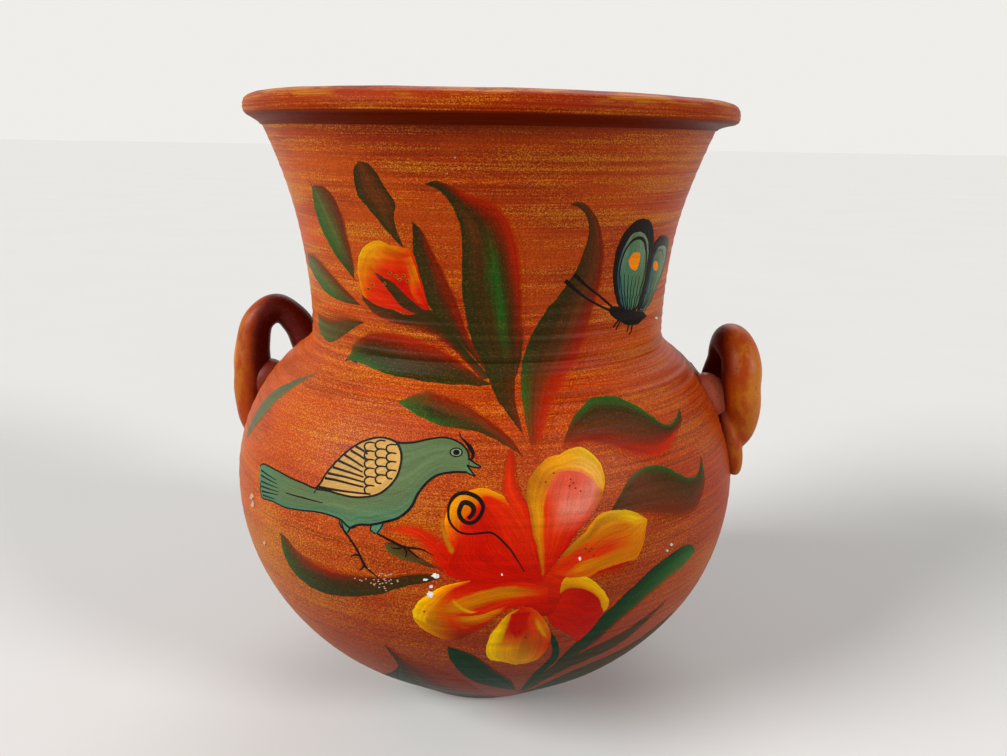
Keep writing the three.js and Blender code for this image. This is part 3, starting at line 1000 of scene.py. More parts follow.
def sheet(first, second, ragged):
    """A grid of places between two edges, and each place's way along and across the stroke."""
    first, second = (pixels(edge) if isinstance(edge, str) else edge for edge in (first, second))
    length = max(np.hypot(*np.diff(edge, axis=0).T).sum() for edge in (first, second))
    rows = max(LEAST_ROWS, int(length * ROWS_PER_PIXEL))
    edges = [smooth_line(cast(edge) * (UNROLL, 1), rows) for edge in (first, second)]
    width = np.hypot(*(edges[0] - edges[1]).T).max()
    columns = max(LEAST_COLUMNS, int(width / PAINT_STEP) + 1)
    for edge in edges:
        edge += np.stack([wander(rows, ragged), wander(rows, ragged)], 1)
    across = np.linspace(0, 1, columns)
    places = edges[0][:, None] * (1 - across)[:, None] + edges[1][:, None] * across[:, None]
    along = np.linspace(0, 1, rows)
    brush = bristles(along[:, None] * length / BRISTLE_STEP, across * width)
    return places / (UNROLL, 1), along, across, brush


def banded(text, along, across):
    """Colour and cover from rows of stops. A row is a share along, then across:colour:cover stops."""
    rows = []
    for row in text.split(";"):
        start, *stops = row.split()
        stops = [stop.split(":") for stop in stops]
        where = [float(stop[0]) for stop in stops]
        values = [[*on_screen(PALETTE[stop[1]]), *map(float, stop[2:] or [1.0])] for stop in stops]
        values = np.array(values)
        rows.append((float(start), np.stack([np.interp(across, where, values[:, k]) for k in range(4)], 1)))
    starts, table = [row[0] for row in rows], np.array([row[1] for row in rows])
    out = np.empty((len(along), len(across), 4))
    for column in range(len(across)):
        for k in range(4):
            out[:, column, k] = np.interp(along, starts, table[:, column, k])
    return out


def hides(cover):
    """How much a stroke of some cover hides on average, once its bristles have missed a part."""
    press = np.clip((PRESS_GAIN * cover + DRY_MEAN - PRESS_LOSS) / PRESS_FULL, 0, 1)
    return press * press * (3 - 2 * press)


def lay(places, paint, brush):
    """Adds a stroke to those on the pot, with the mixed colour and cover that it finds at its places."""
    spots = (places * (UNROLL, 1)).reshape(-1, 2)
    found = np.zeros((len(spots), 4))
    low, high = spots.min(0), spots.max(0)
    for search, shades, box_low, box_high in laid:
        if (low > box_high).any() or (high < box_low).any():
            continue
        for k, spot in enumerate(spots):
            _, index, distance = search.find((*spot, 0))
            if distance < SAME_PLACE:
                cover = hides(shades[index, 3])
                both = cover + found[k, 3] * (1 - cover)
                mixed = shades[index, :3] * cover + found[k, :3] * found[k, 3] * (1 - cover)
                found[k] = *(mixed / max(both, 1e-6)), both
    search = KDTree(len(spots))
    for k, spot in enumerate(spots):
        search.insert((*spot, 0), k)
    search.balance()
    laid.append((search, paint.reshape(-1, 4), low, high))
    return places, paint, found.reshape(paint.shape), brush


def stroke(first, second, colours, fade=(0, 0), ragged=RAGGED):
    """One stroke between two edges, thinned out towards its ends where a fade is given."""
    places, along, across, brush = sheet(first, second, ragged)
    paint = banded(colours if ":" in colours else f"0 0:{colours} 1:{colours}", along, across)
    for share, way in zip(fade, (along, 1 - along)):
        if share:
            paint[..., 3] *= np.clip(way / share, 0, 1)[:, None]
    return lay(places, linear(paint), brush)


def line(points, widths, name="black"):
    """A line of one colour through pixels, with widths in pixels shared out along it."""
    points = pixels(points) if isinstance(points, str) else points
    length = np.hypot(*np.diff(points, axis=0).T).sum()
    rows = max(LEAST_LINE_ROWS, int(length * ROWS_PER_PIXEL * LINE_ROWS))
    middle = smooth_line(cast(points) * (UNROLL, 1), rows) / (UNROLL, 1)
    radius, out, _ = outline_at(middle[:, 1])
    step = np.gradient(middle, axis=0) * np.stack([radius, 1 / out], 1)
    step /= np.hypot(*step.T)[:, None]
    widths = [float(width) for width in widths.split()]
    spread = np.interp(np.linspace(0, 1, rows), np.linspace(0, 1, len(widths)), widths)
    half = spread * seen_depth(middle) / FOCAL_PIXELS / 2
    aside = np.stack([-step[:, 1] * half / radius, step[:, 0] * half * out], 1)
    places = middle[:, None] + aside[:, None] * np.array([-1.0, 0.0, 1.0])[:, None]
    paint = np.broadcast_to([*on_screen(PALETTE[name]), 1.0], places.shape[:2] + (4,))
    return lay(places, linear(paint), bristles(np.arange(rows)[:, None] * LINE_STEP, np.arange(3)))


def dot(x, y, wide, tall, name, uneven=0.0, points=9):
    """A small oval spot, or an uneven fleck."""
    swing = np.linspace(0, math.pi, points)
    sides = []
    for side in (-1, 1):
        size = 1 + uneven * brush_rng.uniform(-1, 1, points)
        size[[0, -1]] = 1
        sides.append(np.stack([x + side * wide * size * np.sin(swing), y - tall * size * np.cos(swing)], 1))
    return stroke(*sides, name, ragged=0.0)


print("Colours on the palette:", len(PALETTE))

# %% [markdown]
# ## The finish of the paint
#
# Thin paint does not hide everything. The finish mixes the stored colour with what is under it, the brushed
# ground or an earlier stroke: where the cover is low, only the bristles that pressed hardest leave colour.
# Mixing inside one finish, instead of making the paint see-through, keeps the skin solid for any program.

# %% Paint finish and painted pieces
def paint_finish():
    """Stored colour over what lies below, by its cover, its bristles and the sand in the clay."""
    finish, tree, shader = new_finish("brush_paint", spec=0.06)
    below, below_rough, below_height = ground_parts(tree)
    earlier = add(tree, "Attribute", attribute_name="under")
    below = blend(tree, earlier.outputs["Alpha"], below, earlier.outputs["Color"])
    place = place_in_mm(tree)
    stored = add(tree, "Attribute", attribute_name="paint")
    brush = add(tree, "Attribute", attribute_name="brush").outputs["Vector"]
    bristle = grain(tree, brush, (0.05, 1.3, 1.0), 3.0, 0.6)
    load = grain(tree, brush, (0.03, 0.35, 1.0), 2.0, 0.5, (4, 4, 4))
    sand = grain(tree, place, (1.5, 1.5, 1.8), 2.0, 0.7, (5, 1, 9))
    dry = sums(tree, "MULTIPLY_ADD", bristle, 0.6, sums(tree, "MULTIPLY", sand, 0.4))
    colour, given = stored.outputs["Color"], stored.outputs["Alpha"]
    press = sums(tree, "MULTIPLY_ADD", given, PRESS_GAIN, sums(tree, "SUBTRACT", dry, PRESS_LOSS))
    cover = span(tree, press, 0.0, PRESS_FULL)
    streak = span(tree, bristle, 0.3, 0.7, 0.86, 1.1)
    streak = sums(tree, "MULTIPLY", streak, span(tree, load, 0.35, 0.65, 0.92, 1.08))
    streak = sums(tree, "MULTIPLY", streak, span(tree, sand, 0.35, 0.6, 0.9, 1.04))
    missed = span(tree, given, 0.88, 1.0, 0.3, 0.05)
    missed = sums(tree, "MULTIPLY", span(tree, sand, 0.54, 0.7), missed)
    colour = blend(tree, missed, scaled(tree, colour, streak), below)
    colour = blend(tree, cover, below, colour)
    paint_rough = span(tree, bristle, 0.3, 0.7, 0.32, 0.46)
    rough = add(tree, "Mix", {0: cover, 2: below_rough, 3: paint_rough}, data_type="FLOAT").outputs[0]
    height = sums(tree, "MULTIPLY_ADD", bristle, 0.6, below_height)
    set_surface(tree, shader, colour, rough, bump(tree, height, depth_mm=0.14))
    return finish


brush_paint = paint_finish()


def sheet_faces(rows, columns):
    """Faces of a closed skin: the grid on top, the same grid turned over below, and a rim between them."""
    top = grid_faces(rows, columns)
    below = rows * columns
    faces = top + [tuple(corner + below for corner in face[::-1]) for face in top]
    rim = [row * columns for row in range(rows - 1, 0, -1)] + list(range(columns - 1))
    rim += [row * columns + columns - 1 for row in range(rows - 1)]
    rim += [(rows - 1) * columns + column for column in range(columns - 1, 0, -1)]
    for start, end in zip(rim, rim[1:] + rim[:1]):
        faces.append((start, start + below, end + below, end))
    return faces


def painted(name, levels, lift, thin=1.0):
    """One piece from strokes in levels laid over each other, from a height in millimetres above the clay."""
    points, faces, start = [], [], 0
    stored = {"paint": [], "under": [], "brush": []}
    for order, level in enumerate(levels):
        for places, *layers in level:
            layers[0] = layers[0] * (1, 1, 1, thin)
            aside, ahead = np.gradient(places, axis=1), np.gradient(places, axis=0)
            if (aside[..., 0] * ahead[..., 1] - aside[..., 1] * ahead[..., 0]).sum() < 0:
                places, *layers = (layer[:, ::-1] for layer in (places, *layers))
            turn, height = places[..., 0], places[..., 1]
            for rise in (lift + order * LAYER, -PAINT_DEPTH):
                points.append(skin(turn, height, rise).reshape(-1, 3))
                for key, layer in zip(stored, layers):
                    stored[key].append(layer.reshape(-1, layer.shape[-1]))
            faces += [tuple(corner + start for corner in face) for face in sheet_faces(*turn.shape)]
            start += 2 * turn.size
    piece = make_piece(name, np.concatenate(points), faces, sharp_degrees=50)
    for key, layers in stored.items():
        kind, field = ("FLOAT_VECTOR", "vector") if key == "brush" else ("FLOAT_COLOR", "color")
        kept = piece.data.attributes.new(key, kind, "POINT")
        kept.data.foreach_set(field, np.concatenate(layers).ravel())
    piece.data.materials.append(brush_paint)
    print(name, sum(map(len, levels)), "strokes,", len(piece.data.polygons), "faces")


# %% [markdown]
# ## Leaves and stems
#
# Each leaf is one press of a flat brush loaded with green on one side and brown or red on the other. The
# green edge is crisp, because the brush turned on it, and the other side runs dry into the ground. A leaf
# is given by its two edges, in pixels of the photograph, and by rows of colours across it.

# %% Spray of leaves on the neck
SPRAY_OUTER = (
    "311,186 313,205 318,223 327,243 338,260 354,280",
    "311,186 322,187 331,195 338,208 344,225 348,243 352,262 354,280",
)
SPRAY_OUTER_TIP = "308,181 310,185 313,192"
SPRAY_TOP = (
    "357,161 353,172 354,183 358,197 367,208 377,220 387,232 402,248",
    "357,161 367,164 377,175 385,189 393,200 395,207 393,218 395,228 402,248",
)
SPRAY_MIDDLE = (
    "307,253 308,263 315,278 325,292 338,300 361,306",
    "307,253 315,255 325,265 335,277 343,287 352,297 361,306",
)
SPRAY_LOW = ("316,303 333,308 350,314 364,322", "318,330 325,340 331,342 343,335 355,327 364,322")
SPRAY_INNER = (
    "412,222 412,233 412,247 414,263 418,280 424,297 431,310 437,318 458,340 490,377",
    "412,222 425,235 436,253 446,270 454,287 460,303 465,322 470,338 480,356 490,377",
)
painted("neck_spray", [[
    stroke(*SPRAY_OUTER,
           "0 0:green .4:moss 1:brown; .6 0:green .45:moss .8:brown 1:maroon:.4; 1 0:dark 1:brown:.7"),
    line(SPRAY_OUTER_TIP, "0.6 1.4 2", "dark"),
    stroke(*SPRAY_TOP, "0 0:dark .5:brown 1:olive; .5 0:dark .4:brown .8:brown 1:dark; 1 0:dark 1:olive"),
    stroke(*SPRAY_MIDDLE,
           "0 0:moss .5:moss 1:brown:.5; .6 0:green .4:moss .75:brown 1:maroon:.1; 1 0:olive 1:brown"),
    stroke(*SPRAY_LOW, "0 0:brown:0 .4:brown:.5 .55:moss 1:moss; 1 0:brown:.3 1:olive"),
    stroke(*SPRAY_INNER, "0 0:dark 1:dark; .15 0:dark .5:olive .75:maroon:.9 1:maroon:0; "
           ".6 0:dark .4:olive .6:maroon .82:maroon:.8 1:glow:0; 1 0:olive 1:maroon"),
]], lift=0.05, thin=LEAF_THIN)

# %% [markdown]
# ## The bud
#
# The bud goes from red at its stem to yellow at its tip, with a bright edge on the left, a dark sepal over
# its middle and a few pits in the paint. It could be one patch with painted detail, but separate strokes,
# in levels, mix with what they cross, as wet paint does.

# %% Bud and its stem
BUD_PITS = [(395, 276), (399, 280), (389, 273), (372, 285), (368, 289), (403, 276), (407, 281), (384, 284)]
PIT_RIM, PIT_HOLE, PIT_UNEVEN = (1.9, 1.6), (1.2, 1.0), 0.3
BUD_BODY = (
    "429,311 410,314 395,310 380,307 367,301 362,297 358,278 357,260 361,250",
    "429,311 424,292 419,277 416,265 412,254 402,248 388,245 378,241 368,244 361,250",
)
BUD_LEFT_EDGE = (
    "363,298 358,278 357,260 361,250 368,244 378,241 388,245",
    "370,300 366,281 368,264 372,256 378,252 383,250 388,245",
)
BUD_RIGHT_EDGE = ("410,256 414,266 418,278 423,292 428,310", "394,262 398,272 403,284 409,296 428,310")
BUD_SEPAL = (
    "371,271 383,278 392,283 400,290 410,300 420,308 428,312",
    "371,271 380,281 387,290 395,300 403,308 412,313 428,312",
)
BUD_STEM = (
    "362,295 370,302 388,309 410,315 428,310 440,317 455,337 470,355 490,377",
    "362,300 373,313 388,321 408,328 428,334 445,343 458,354 470,367 482,380",
)
painted("bud", [
    [stroke(*BUD_BODY,
            "0 0:red 1:red; .4 0:scarlet .5:red 1:scarlet; .6 0:scarlet .3:scarlet .6:scarlet 1:orange; "
            ".77 0:amber .4:orange .7:amber 1:orange; 1 0:amber 1:amber")],
    [stroke(*BUD_LEFT_EDGE,
            "0 0:orange 1:scarlet:0; .3 0:amber 1:scarlet:0; .5 0:yellow .4:amber 1:orange:0; "
            "1 0:amber 1:amber:.1"),
     stroke(*BUD_RIGHT_EDGE,
            "0 0:orange:.5 1:orange:0; .35 0:orange:.7 1:orange:0; .6 0:scarlet .5:scarlet 1:orange:0; "
            "1 0:red 1:red")],
    [stroke(*BUD_SEPAL, "olive", fade=(0.15, 0))],
    [stroke(*BUD_STEM,
            "0 0:olive 1:brown:.7; .4 0:olive .5:olive 1:maroon:.3; .8 0:dark .6:olive 1:maroon:.5; "
            "1 0:olive 1:brown")],
    [dot(*pit, *PIT_RIM, "ochre", PIT_UNEVEN) for pit in BUD_PITS],
    [dot(*pit, *PIT_HOLE, "brown", PIT_UNEVEN) for pit in BUD_PITS],
], lift=0.06)

# %% [markdown]
# ## The large leaves of the spray
#
# These leaves fan out from the foot of the neck. One side is dark and crisp, the middle is a brighter
# green, and the other side runs into a red glow with no edge. Stops with less and less cover give that
# glow, so the stroke itself keeps a plain outline.

# %% Tall leaf, side leaves and right leaf
TALL_LEAF = (
    "425,184 438,190 447,198 455,212 460,225 462,243 462,267 462,292 466,317 472,342 482,362 496,396 "
    "506,411 523,434",
    "425,184 437,181 451,185 467,193 487,198 505,208 516,225 522,245 525,267 526,292 525,317 523,342 "
    "520,363 514,390 523,434",
)
painted("tall_leaf", [[
    stroke(*TALL_LEAF, "0 0:dark 1:dark; .12 0:dark .45:olive .65:maroon .85:glow:.8 1:glow:0; "
           ".25 0:dark .3:brown .5:olive .66:maroon .82:glow 1:glow:0; "
           ".45 0:dark .32:olive .55:green .68:olive .84:glow 1:glow:0; "
           ".62 0:dark .4:olive .58:green .72:olive .86:maroon 1:glow:0; .8 0:dark .6:olive 1:olive; "
           "1 0:olive 1:maroon"),
]], lift=0.12, thin=LEAF_THIN)
SIDE_LEAF = (
    "346,359 361,363 375,369 395,375 420,380 445,383 470,385 492,384",
    "346,359 352,346 358,336 366,329 388,326 414,333 440,346 458,359 479,377 492,384",
)
SIDE_LEAF_TIP = "344,360 349,359 356,362"
LOW_SIDE_LEAF = (
    "398,401 412,411 428,420 446,426 464,429 485,434 499,441 514,450 523,457",
    "398,401 414,394 428,389 445,390 461,396 480,408 498,425 515,443 523,457",
)
painted("side_leaves", [[
    stroke(*SIDE_LEAF, "0 0:green 1:moss; .2 0:green .3:dark .55:olive .75:maroon:.8 1:glow:0; "
           ".5 0:dark .35:olive .6:maroon .8:glow:.7 1:glow:0; .8 0:dark .5:olive .8:maroon 1:glow:.1; "
           "1 0:olive 1:olive"),
    line(SIDE_LEAF_TIP, "0.6 1.4 2.4", "dark"),
    stroke(*LOW_SIDE_LEAF, "0 0:green 1:moss; .3 0:green .3:dark .55:brown .8:maroon:.7 1:maroon:0; "
           ".65 0:dark .4:brown .7:maroon:.7 1:maroon:0; 1 0:brown 1:maroon"),
]], lift=0.132, thin=LEAF_THIN)
RIGHT_LEAF = (
    "571,204 581,209 588,217 590,227 589,239 585,251 579,266 570,281 559,297 547,311 537,326 529,343 "
    "523,361 521,380 523,400 526,420 530,440 535,463",
    "571,204 584,203 592,210 599,222 603,237 605,251 605,266 604,281 600,297 597,311 594,326 590,343 "
    "585,361 577,378 568,392 560,406 553,420 545,441 535,463",
)
painted("right_leaf", [[
    stroke(*RIGHT_LEAF,
           "0 0:olive 1:brown; .2 0:olive .6:brown 1:maroon:.6; "
           ".42 0:dark .3:olive .6:brown .85:maroon:.8 1:glow:0; "
           ".62 0:dark .25:olive .5:brown .75:glow:.8 1:glow:0; .8 0:green .3:brown .6:glow:.8 1:glow:0; "
           "1 0:glow:.8 1:glow:.3",
           fade=(0, 0.08)),
]], lift=0.144, thin=LEAF_THIN)

# %% [markdown]
# ## Leaves on the belly and the foot
#
# Two leaves beside the flower curl at the tip, two lie under the bird's feet, a thin one runs down the left
# shoulder, and long blades rise from the foot. They are pressed in the same way as those on the neck. Where
# blades cross, they lie in levels.

# %% Leaves round the bird, the flower and the foot
UPPER_CURL = (
    "562,448 567,433 573,418 583,405 595,397 607,396 622,398 637,405 650,414 660,421 668,424 676,419 "
    "680,408",
    "562,448 573,450 588,447 605,449 622,455 638,461 653,463 666,458 674,445 679,431 682,421 682,413 "
    "680,408",
)
LOWER_CURL = (
    "609,516 617,502 627,483 638,471 652,465 667,467 682,474 692,478 698,475 702,465 702,456",
    "609,516 630,518 650,520 668,522 685,519 697,510 703,497 706,481 705,470 704,462 702,456",
)
painted("curled_leaves", [[
    stroke(*UPPER_CURL, "0 0:maroon:.5 1:glow:.3; .22 0:green .2:olive .45:brown .72:maroon:.9 1:glow:0; "
           ".55 0:green .2:olive .5:brown .78:glow:.9 1:scarlet:0; "
           ".8 0:green .35:olive .6:maroon .85:scarlet:.8 1:glow:0; "
           "1 0:green 1:olive"),
    stroke(*LOWER_CURL,
           "0 0:olive:.8 1:brown:.3; .3 0:moss .12:brown .6:brown:.9 1:maroon:.2; "
           ".5 0:green .16:olive .6:brown 1:maroon:.3; "
           ".8 0:green .3:olive .8:brown 1:maroon:.5; 1 0:dark 1:green"),
]], lift=0.05, thin=LEAF_THIN)
PERCH_LEAF = (
    "279,533 282,550 288,565 300,580 315,590 333,596 355,597 378,595 402,588 423,583 444,578",
    "279,533 286,539 297,551 310,560 327,566 347,571 366,574 386,576 410,574 428,574 444,578",
)
PERCH_LEAFLET = (
    "383,543 395,543 410,552 423,560 442,571",
    "383,543 388,552 400,559 415,563 432,568 442,571",
)
FLANK_LEAF = (
    "318,371 303,376 288,382 273,390 260,404 251,420 245,436",
    "318,371 305,379 293,387 278,399 265,413 254,426 246,438",
)
painted("perch_leaves", [[
    stroke(*PERCH_LEAF, "0 0:green 1:brown; .4 0:dark .3:dark .55:olive .75:maroon:.8 1:glow:0; "
           ".7 0:dark .5:olive .8:olive:.8 1:glow:.1; 1 0:olive:.9 1:olive:.7", fade=(0, 0.04)),
    stroke(*PERCH_LEAFLET, "0 0:olive 1:moss; 1 0:brown:.7 1:olive:.7"),
    stroke(*FLANK_LEAF,
           "0 0:lichen:.6 1:lichen:.5; .3 0:lichen:.9 .6:lichen 1:lichen:.4; 1 0:lichen 1:lichen:.6",
           ragged=0.02),
]], lift=0.05, thin=LEAF_THIN)
FOOT_LEFT_LEAF = ("384,646 399,670 414,688 445,697 495,699", "384,646 402,656 432,668 466,683 495,699")
UPPER_BLADE = (
    "522,688 545,673 565,661 585,652 605,643 625,632 645,618 669,598",
    "522,692 545,681 567,670 588,661 608,652 628,639 647,622 669,598",
)
FOOT_MIDDLE_LEAF = (
    "448,648 448,655 452,664 460,673 470,680 482,685 495,688 516,691",
    "448,648 457,650 468,654 480,660 492,668 502,675 510,681 516,691",
)
LOWER_BLADE = (
    "521,693 545,685 567,675 589,666 610,657 631,646 652,631 674,612",
    "521,696 547,692 570,682 592,673 612,663 633,650 654,634 674,612",
)
FOOT_STEM = (
    "549,631 549,637 552,645 552,655 548,662 540,670 530,679 517,693",
    "549,631 554,636 558,643 560,652 557,661 545,672 534,682 517,693",
)
BROAD_BLADE = (
    "553,668 566,654 578,642 590,630 602,617 620,600 640,581 660,563 690,545 696,551",
    "553,668 572,658 588,649 602,639 616,626 632,612 652,594 668,580 685,565 696,551",
)
painted("foot_leaves", [
    [stroke(*FOOT_LEFT_LEAF, "0 0:deep 1:maroon:.4; .4 0:deep .6:deep 1:maroon:.1; 1 0:deep 1:brown:.5"),
     stroke(*UPPER_BLADE, "0 0:dark 1:dark; 1 0:olive:.7 1:olive:.4")],
    [stroke(*FOOT_MIDDLE_LEAF,
            "0 0:deep 1:deep; .5 0:deep .75:deep .92:olive:.8 1:maroon:0; 1 0:deep 1:deep"),
     stroke(*LOWER_BLADE, "0 0:deep 1:olive; 1 0:olive:.7 1:olive:.4")],
    [stroke(*FOOT_STEM, "deep")],
    [stroke(*BROAD_BLADE,
            "0 0:deep 1:deep:.6; .3 0:deep .6:deep .8:olive:.8 1:maroon:0; .8 0:deep .6:green 1:moss:.3; "
            "1 0:green 1:moss")],
], lift=0.05)

# %% [markdown]
# ## The flower
#
# The petals were painted wet in wet. A red undercoat went on first, and strokes of yellow and orange were
# then pressed at the tips and dragged towards the heart, so that the red shows between them. Each petal
# here is an undercoat and a few strokes that fade into it.

# %% Heart and folded petal
HEART = (
    "510,562 530,566 546,562 560,565 569,576 561,594",
    "510,592 524,606 538,616 550,615 558,605 561,594",
)
heart = stroke(*HEART, "0 0:scarlet 1:red; 1 0:scarlet 1:wine")
SMEAR = (
    "384,526 400,517 416,519 432,526 446,538 457,556",
    "384,536 398,541 413,547 424,556 434,566 448,578",
)
smear = stroke(*SMEAR,
               "0 0:glow:.1 .5:glow:.4 1:glow:.1; .3 0:glow:0 .45:scarlet:.75 1:glow:0; "
               "1 0:red:.3 .5:red:.9 1:red:.5")
HAZE = ("440,510 437,525 440,540 447,554 454,563", "450,512 448,523 451,536 456,548 460,558")
haze = stroke(*HAZE, "0 0:ochre:0 .6:ochre:.8 1:ochre:.8", fade=(0.2, 0.2))
FOLD_UNDER = (
    "544,582 520,585 500,584 475,582 455,579 445,569 450,558 454,548 449,540 446,530 444,518 448,506 "
    "456,497 466,491",
    "544,582 540,570 536,555 532,538 525,522 517,512 509,503 505,499 498,494 488,490 478,488 466,491",
)
fold_under = stroke(*FOLD_UNDER,
                    "0 0:red 1:red; .5 0:red .5:red 1:scarlet; .8 0:scarlet .5:red 1:scarlet; "
                    "1 0:orange 1:orange")
FOLD_SIDE = (
    "452,548 448,538 445,525 446,512 452,502 460,495 470,491 482,492",
    "472,536 470,531 469,526 472,521 477,515 482,508 486,502 482,492",
)
fold_side = stroke(*FOLD_SIDE,
                   "0 0:scarlet:.4 1:scarlet:0; .4 0:amber .4:orange 1:scarlet:0; "
                   ".8 0:amber .6:orange 1:scarlet:.1; "
                   "1 0:orange 1:scarlet:.2")
FOLD_RIM = (
    "468,491 478,488 488,489 498,493 506,499 509,506",
    "470,498 480,498 489,498 497,501 503,505 509,506",
)
fold_rim = stroke(*FOLD_RIM,
                  "0 0:amber 1:orange:.3; .6 0:amber .5:orange 1:scarlet:0; 1 0:orange 1:scarlet:.3")
SPIKE = (
    "510,450 506,460 503,475 502,490 506,500 513,511 523,526 531,541 537,558 540,574",
    "511,450 516,461 517,477 521,491 527,504 532,520 536,535 539,555 540,574",
)
spike = stroke(*SPIKE,
               "0 0:glow:.6 1:glow:.6; .2 0:glow:.3 .4:scarlet 1:glow:.4; "
               ".5 0:scarlet:.9 .5:scarlet 1:red:.9; 1 0:red 1:red")
print("Strokes laid up to the folded petal:", len(laid))

# %% Tall petal and side petal
TALL_UNDER = (
    "544,578 540,560 537,545 533,530 530,512 527,495 528,482 534,472 541,464 550,457 560,454 570,449",
    "544,578 550,570 558,560 569,545 580,530 590,518 597,508 601,500 604,490 606,480 604,470 600,462 "
    "595,456 588,450 579,447 570,449",
)
# Painted highlight: the pinkish stops in the middle of the tall petal; the palest is all highlight, the
# darker partly the petal's own red.
tall_under = stroke(*TALL_UNDER,
                    "0 0:red 1:red; .3 0:orange .25:scarlet .6:scarlet 1:red; "
                    ".5 0:ochre .25:scarlet .5:pink .8:pink 1:rose:.6; "
                    ".65 0:ochre .3:rose .6:rose .85:pink 1:ochre:.5; "
                    ".82 0:amber .4:rose .7:rose 1:ochre:.8; 1 0:amber 1:amber")
TALL_STRIPE = (
    "543,576 540,560 537,545 533,530 530,512 527,495 528,482 534,472 541,464 550,457 560,454",
    "547,574 547,560 547,545 547,530 547,512 549,500 553,488 558,478 562,470 564,462 560,454",
)
tall_stripe = stroke(*TALL_STRIPE,
                     "0 0:ochre:.6 1:scarlet:0; .2 0:ochre .4:orange 1:scarlet:.1; "
                     ".5 0:ochre .5:amber 1:orange:.1; "
                     ".75 0:ochre .5:ochre 1:orange:.1; 1 0:amber 1:orange:.4")
TALL_CAP = (
    "534,478 541,464 550,457 560,454 570,449 579,447 588,450 595,456 600,462 604,470 606,480 603,494",
    "550,486 556,478 562,475 569,475 575,476 581,477 587,480 591,484 594,487 597,490 599,492 603,494",
)
# Painted highlight: the pale straw stops on the cap.
tall_cap = stroke(*TALL_CAP,
                  "0 0:ochre:.7 1:orange:0; .3 0:amber .4:amber 1:amber:0; .6 0:yellow .5:straw 1:straw:0; "
                  ".85 0:amber .4:straw 1:amber:0; 1 0:orange:.4 1:orange:0")
SIDE_UNDER = (
    "556,568 565,552 575,543 585,534 592,525 600,516 610,512 622,510 635,512 648,520",
    "556,574 570,578 590,576 600,571 612,567 625,562 637,558 642,549 646,535 648,520",
)
side_under = stroke(*SIDE_UNDER,
                    "0 0:scarlet 1:scarlet; .25 0:ochre .3:scarlet .7:scarlet 1:orange; "
                    ".5 0:amber .3:orange .6:scarlet .8:orange 1:orange; "
                    ".7 0:amber .3:orange .7:orange 1:orange; .85 0:yellow .4:amber 1:orange; "
                    "1 0:amber 1:amber")
SIDE_UPPER = (
    "562,556 575,542 585,533 592,524 600,515 610,511 622,510 635,512 648,520",
    "572,560 582,550 592,542 600,534 607,528 616,524 626,524 636,526 648,520",
)
side_upper = stroke(*SIDE_UPPER,
                    "0 0:ochre:.6 1:ochre:0; .4 0:amber .4:ochre 1:ochre:0; "
                    ".8 0:yellow .5:yellow 1:amber:.1; 1 0:amber 1:amber")
SIDE_LOWER = ("566,572 580,562 600,556 620,548 634,540", "566,577 584,573 604,566 624,558 636,548")
side_lower = stroke(*SIDE_LOWER,
                    "0 0:orange:.3 1:orange:.3; .4 0:orange:.3 .5:orange 1:ochre:.5; "
                    "1 0:ochre:.2 1:ochre:.1")
SIDE_SHADOW = ("574,577 592,573 606,567 622,563 638,557", "576,584 594,583 610,580 626,574 638,559")
side_shadow = stroke(*SIDE_SHADOW, "0 0:red:.6 1:red:0; .6 0:red:.9 1:glow:0; 1 0:glow:.4 1:glow:0")
print("Strokes laid up to the side petal:", len(laid))

# %% Lower petals
LOW_RED = (
    "545,596 552,595 561,592 570,588 580,587 590,590 598,596 604,611",
    "545,612 550,624 560,630 570,635 578,642 585,636 594,626 604,611",
)
low_red = stroke(*LOW_RED, "0 0:scarlet 1:red; .5 0:wine .5:red 1:red; 1 0:red 1:red")
LOW_CRESCENT = (
    "560,594 561,585 565,579 572,576 580,576 588,578 595,583 601,588 606,595 609,603 607,609 603,612",
    "560,594 566,590 574,588 582,589 590,592 595,595 598,599 600,602 601,605 602,608 603,610 603,612",
)
low_crescent = stroke(*LOW_CRESCENT,
                      "0 0:orange 1:ochre; .35 0:lemon .7:amber 1:orange:.7; "
                      ".7 0:lemon .7:amber 1:orange:.7; 1 0:amber 1:amber")
LEFT_UNDER = (
    "548,588 520,582 495,582 470,581 450,585 435,591 422,599 412,611",
    "548,602 530,605 510,609 495,616 482,627 470,635 455,641 440,639 425,631 415,622 412,611",
)
left_under = stroke(*LEFT_UNDER,
                    "0 0:scarlet 1:red; .35 0:red .4:red .7:scarlet 1:red; "
                    ".6 0:red .25:scarlet .6:scarlet 1:maroon:.8; "
                    ".75 0:orange .35:orange .7:ochre 1:orange; 1 0:lemon 1:lemon")
LEFT_UPPER = (
    "548,590 520,586 500,587 480,591 460,598 436,608",
    "548,598 518,599 496,603 476,609 456,615 436,616",
)
left_upper = stroke(*LEFT_UPPER,
                    "0 0:scarlet:.4 1:scarlet:.2; .3 0:orange:.3 .35:ochre .7:orange 1:scarlet:.3; "
                    ".8 0:orange:.4 .5:orange 1:ochre:.4; 1 0:ochre:.2 1:ochre:.2")
LEFT_LOWER = ("507,606 490,612 476,616 462,617 446,614", "507,611 492,620 478,626 462,628 444,624")
left_lower = stroke(*LEFT_LOWER,
                    "0 0:orange:.3 1:orange:.1; .4 0:amber:.9 .5:orange 1:scarlet:.2; "
                    "1 0:ochre:.2 1:ochre:.1")
LEFT_TIP = (
    "470,581 452,584 436,590 423,598 414,608 413,617",
    "470,584 457,590 446,598 438,607 431,615 426,624",
)
left_tip = stroke(*LEFT_TIP,
                  "0 0:marigold:.6 1:red:0; .5 0:lemon .5:marigold 1:ochre:.1; "
                  "1 0:lemon .6:yellow 1:amber:.2")
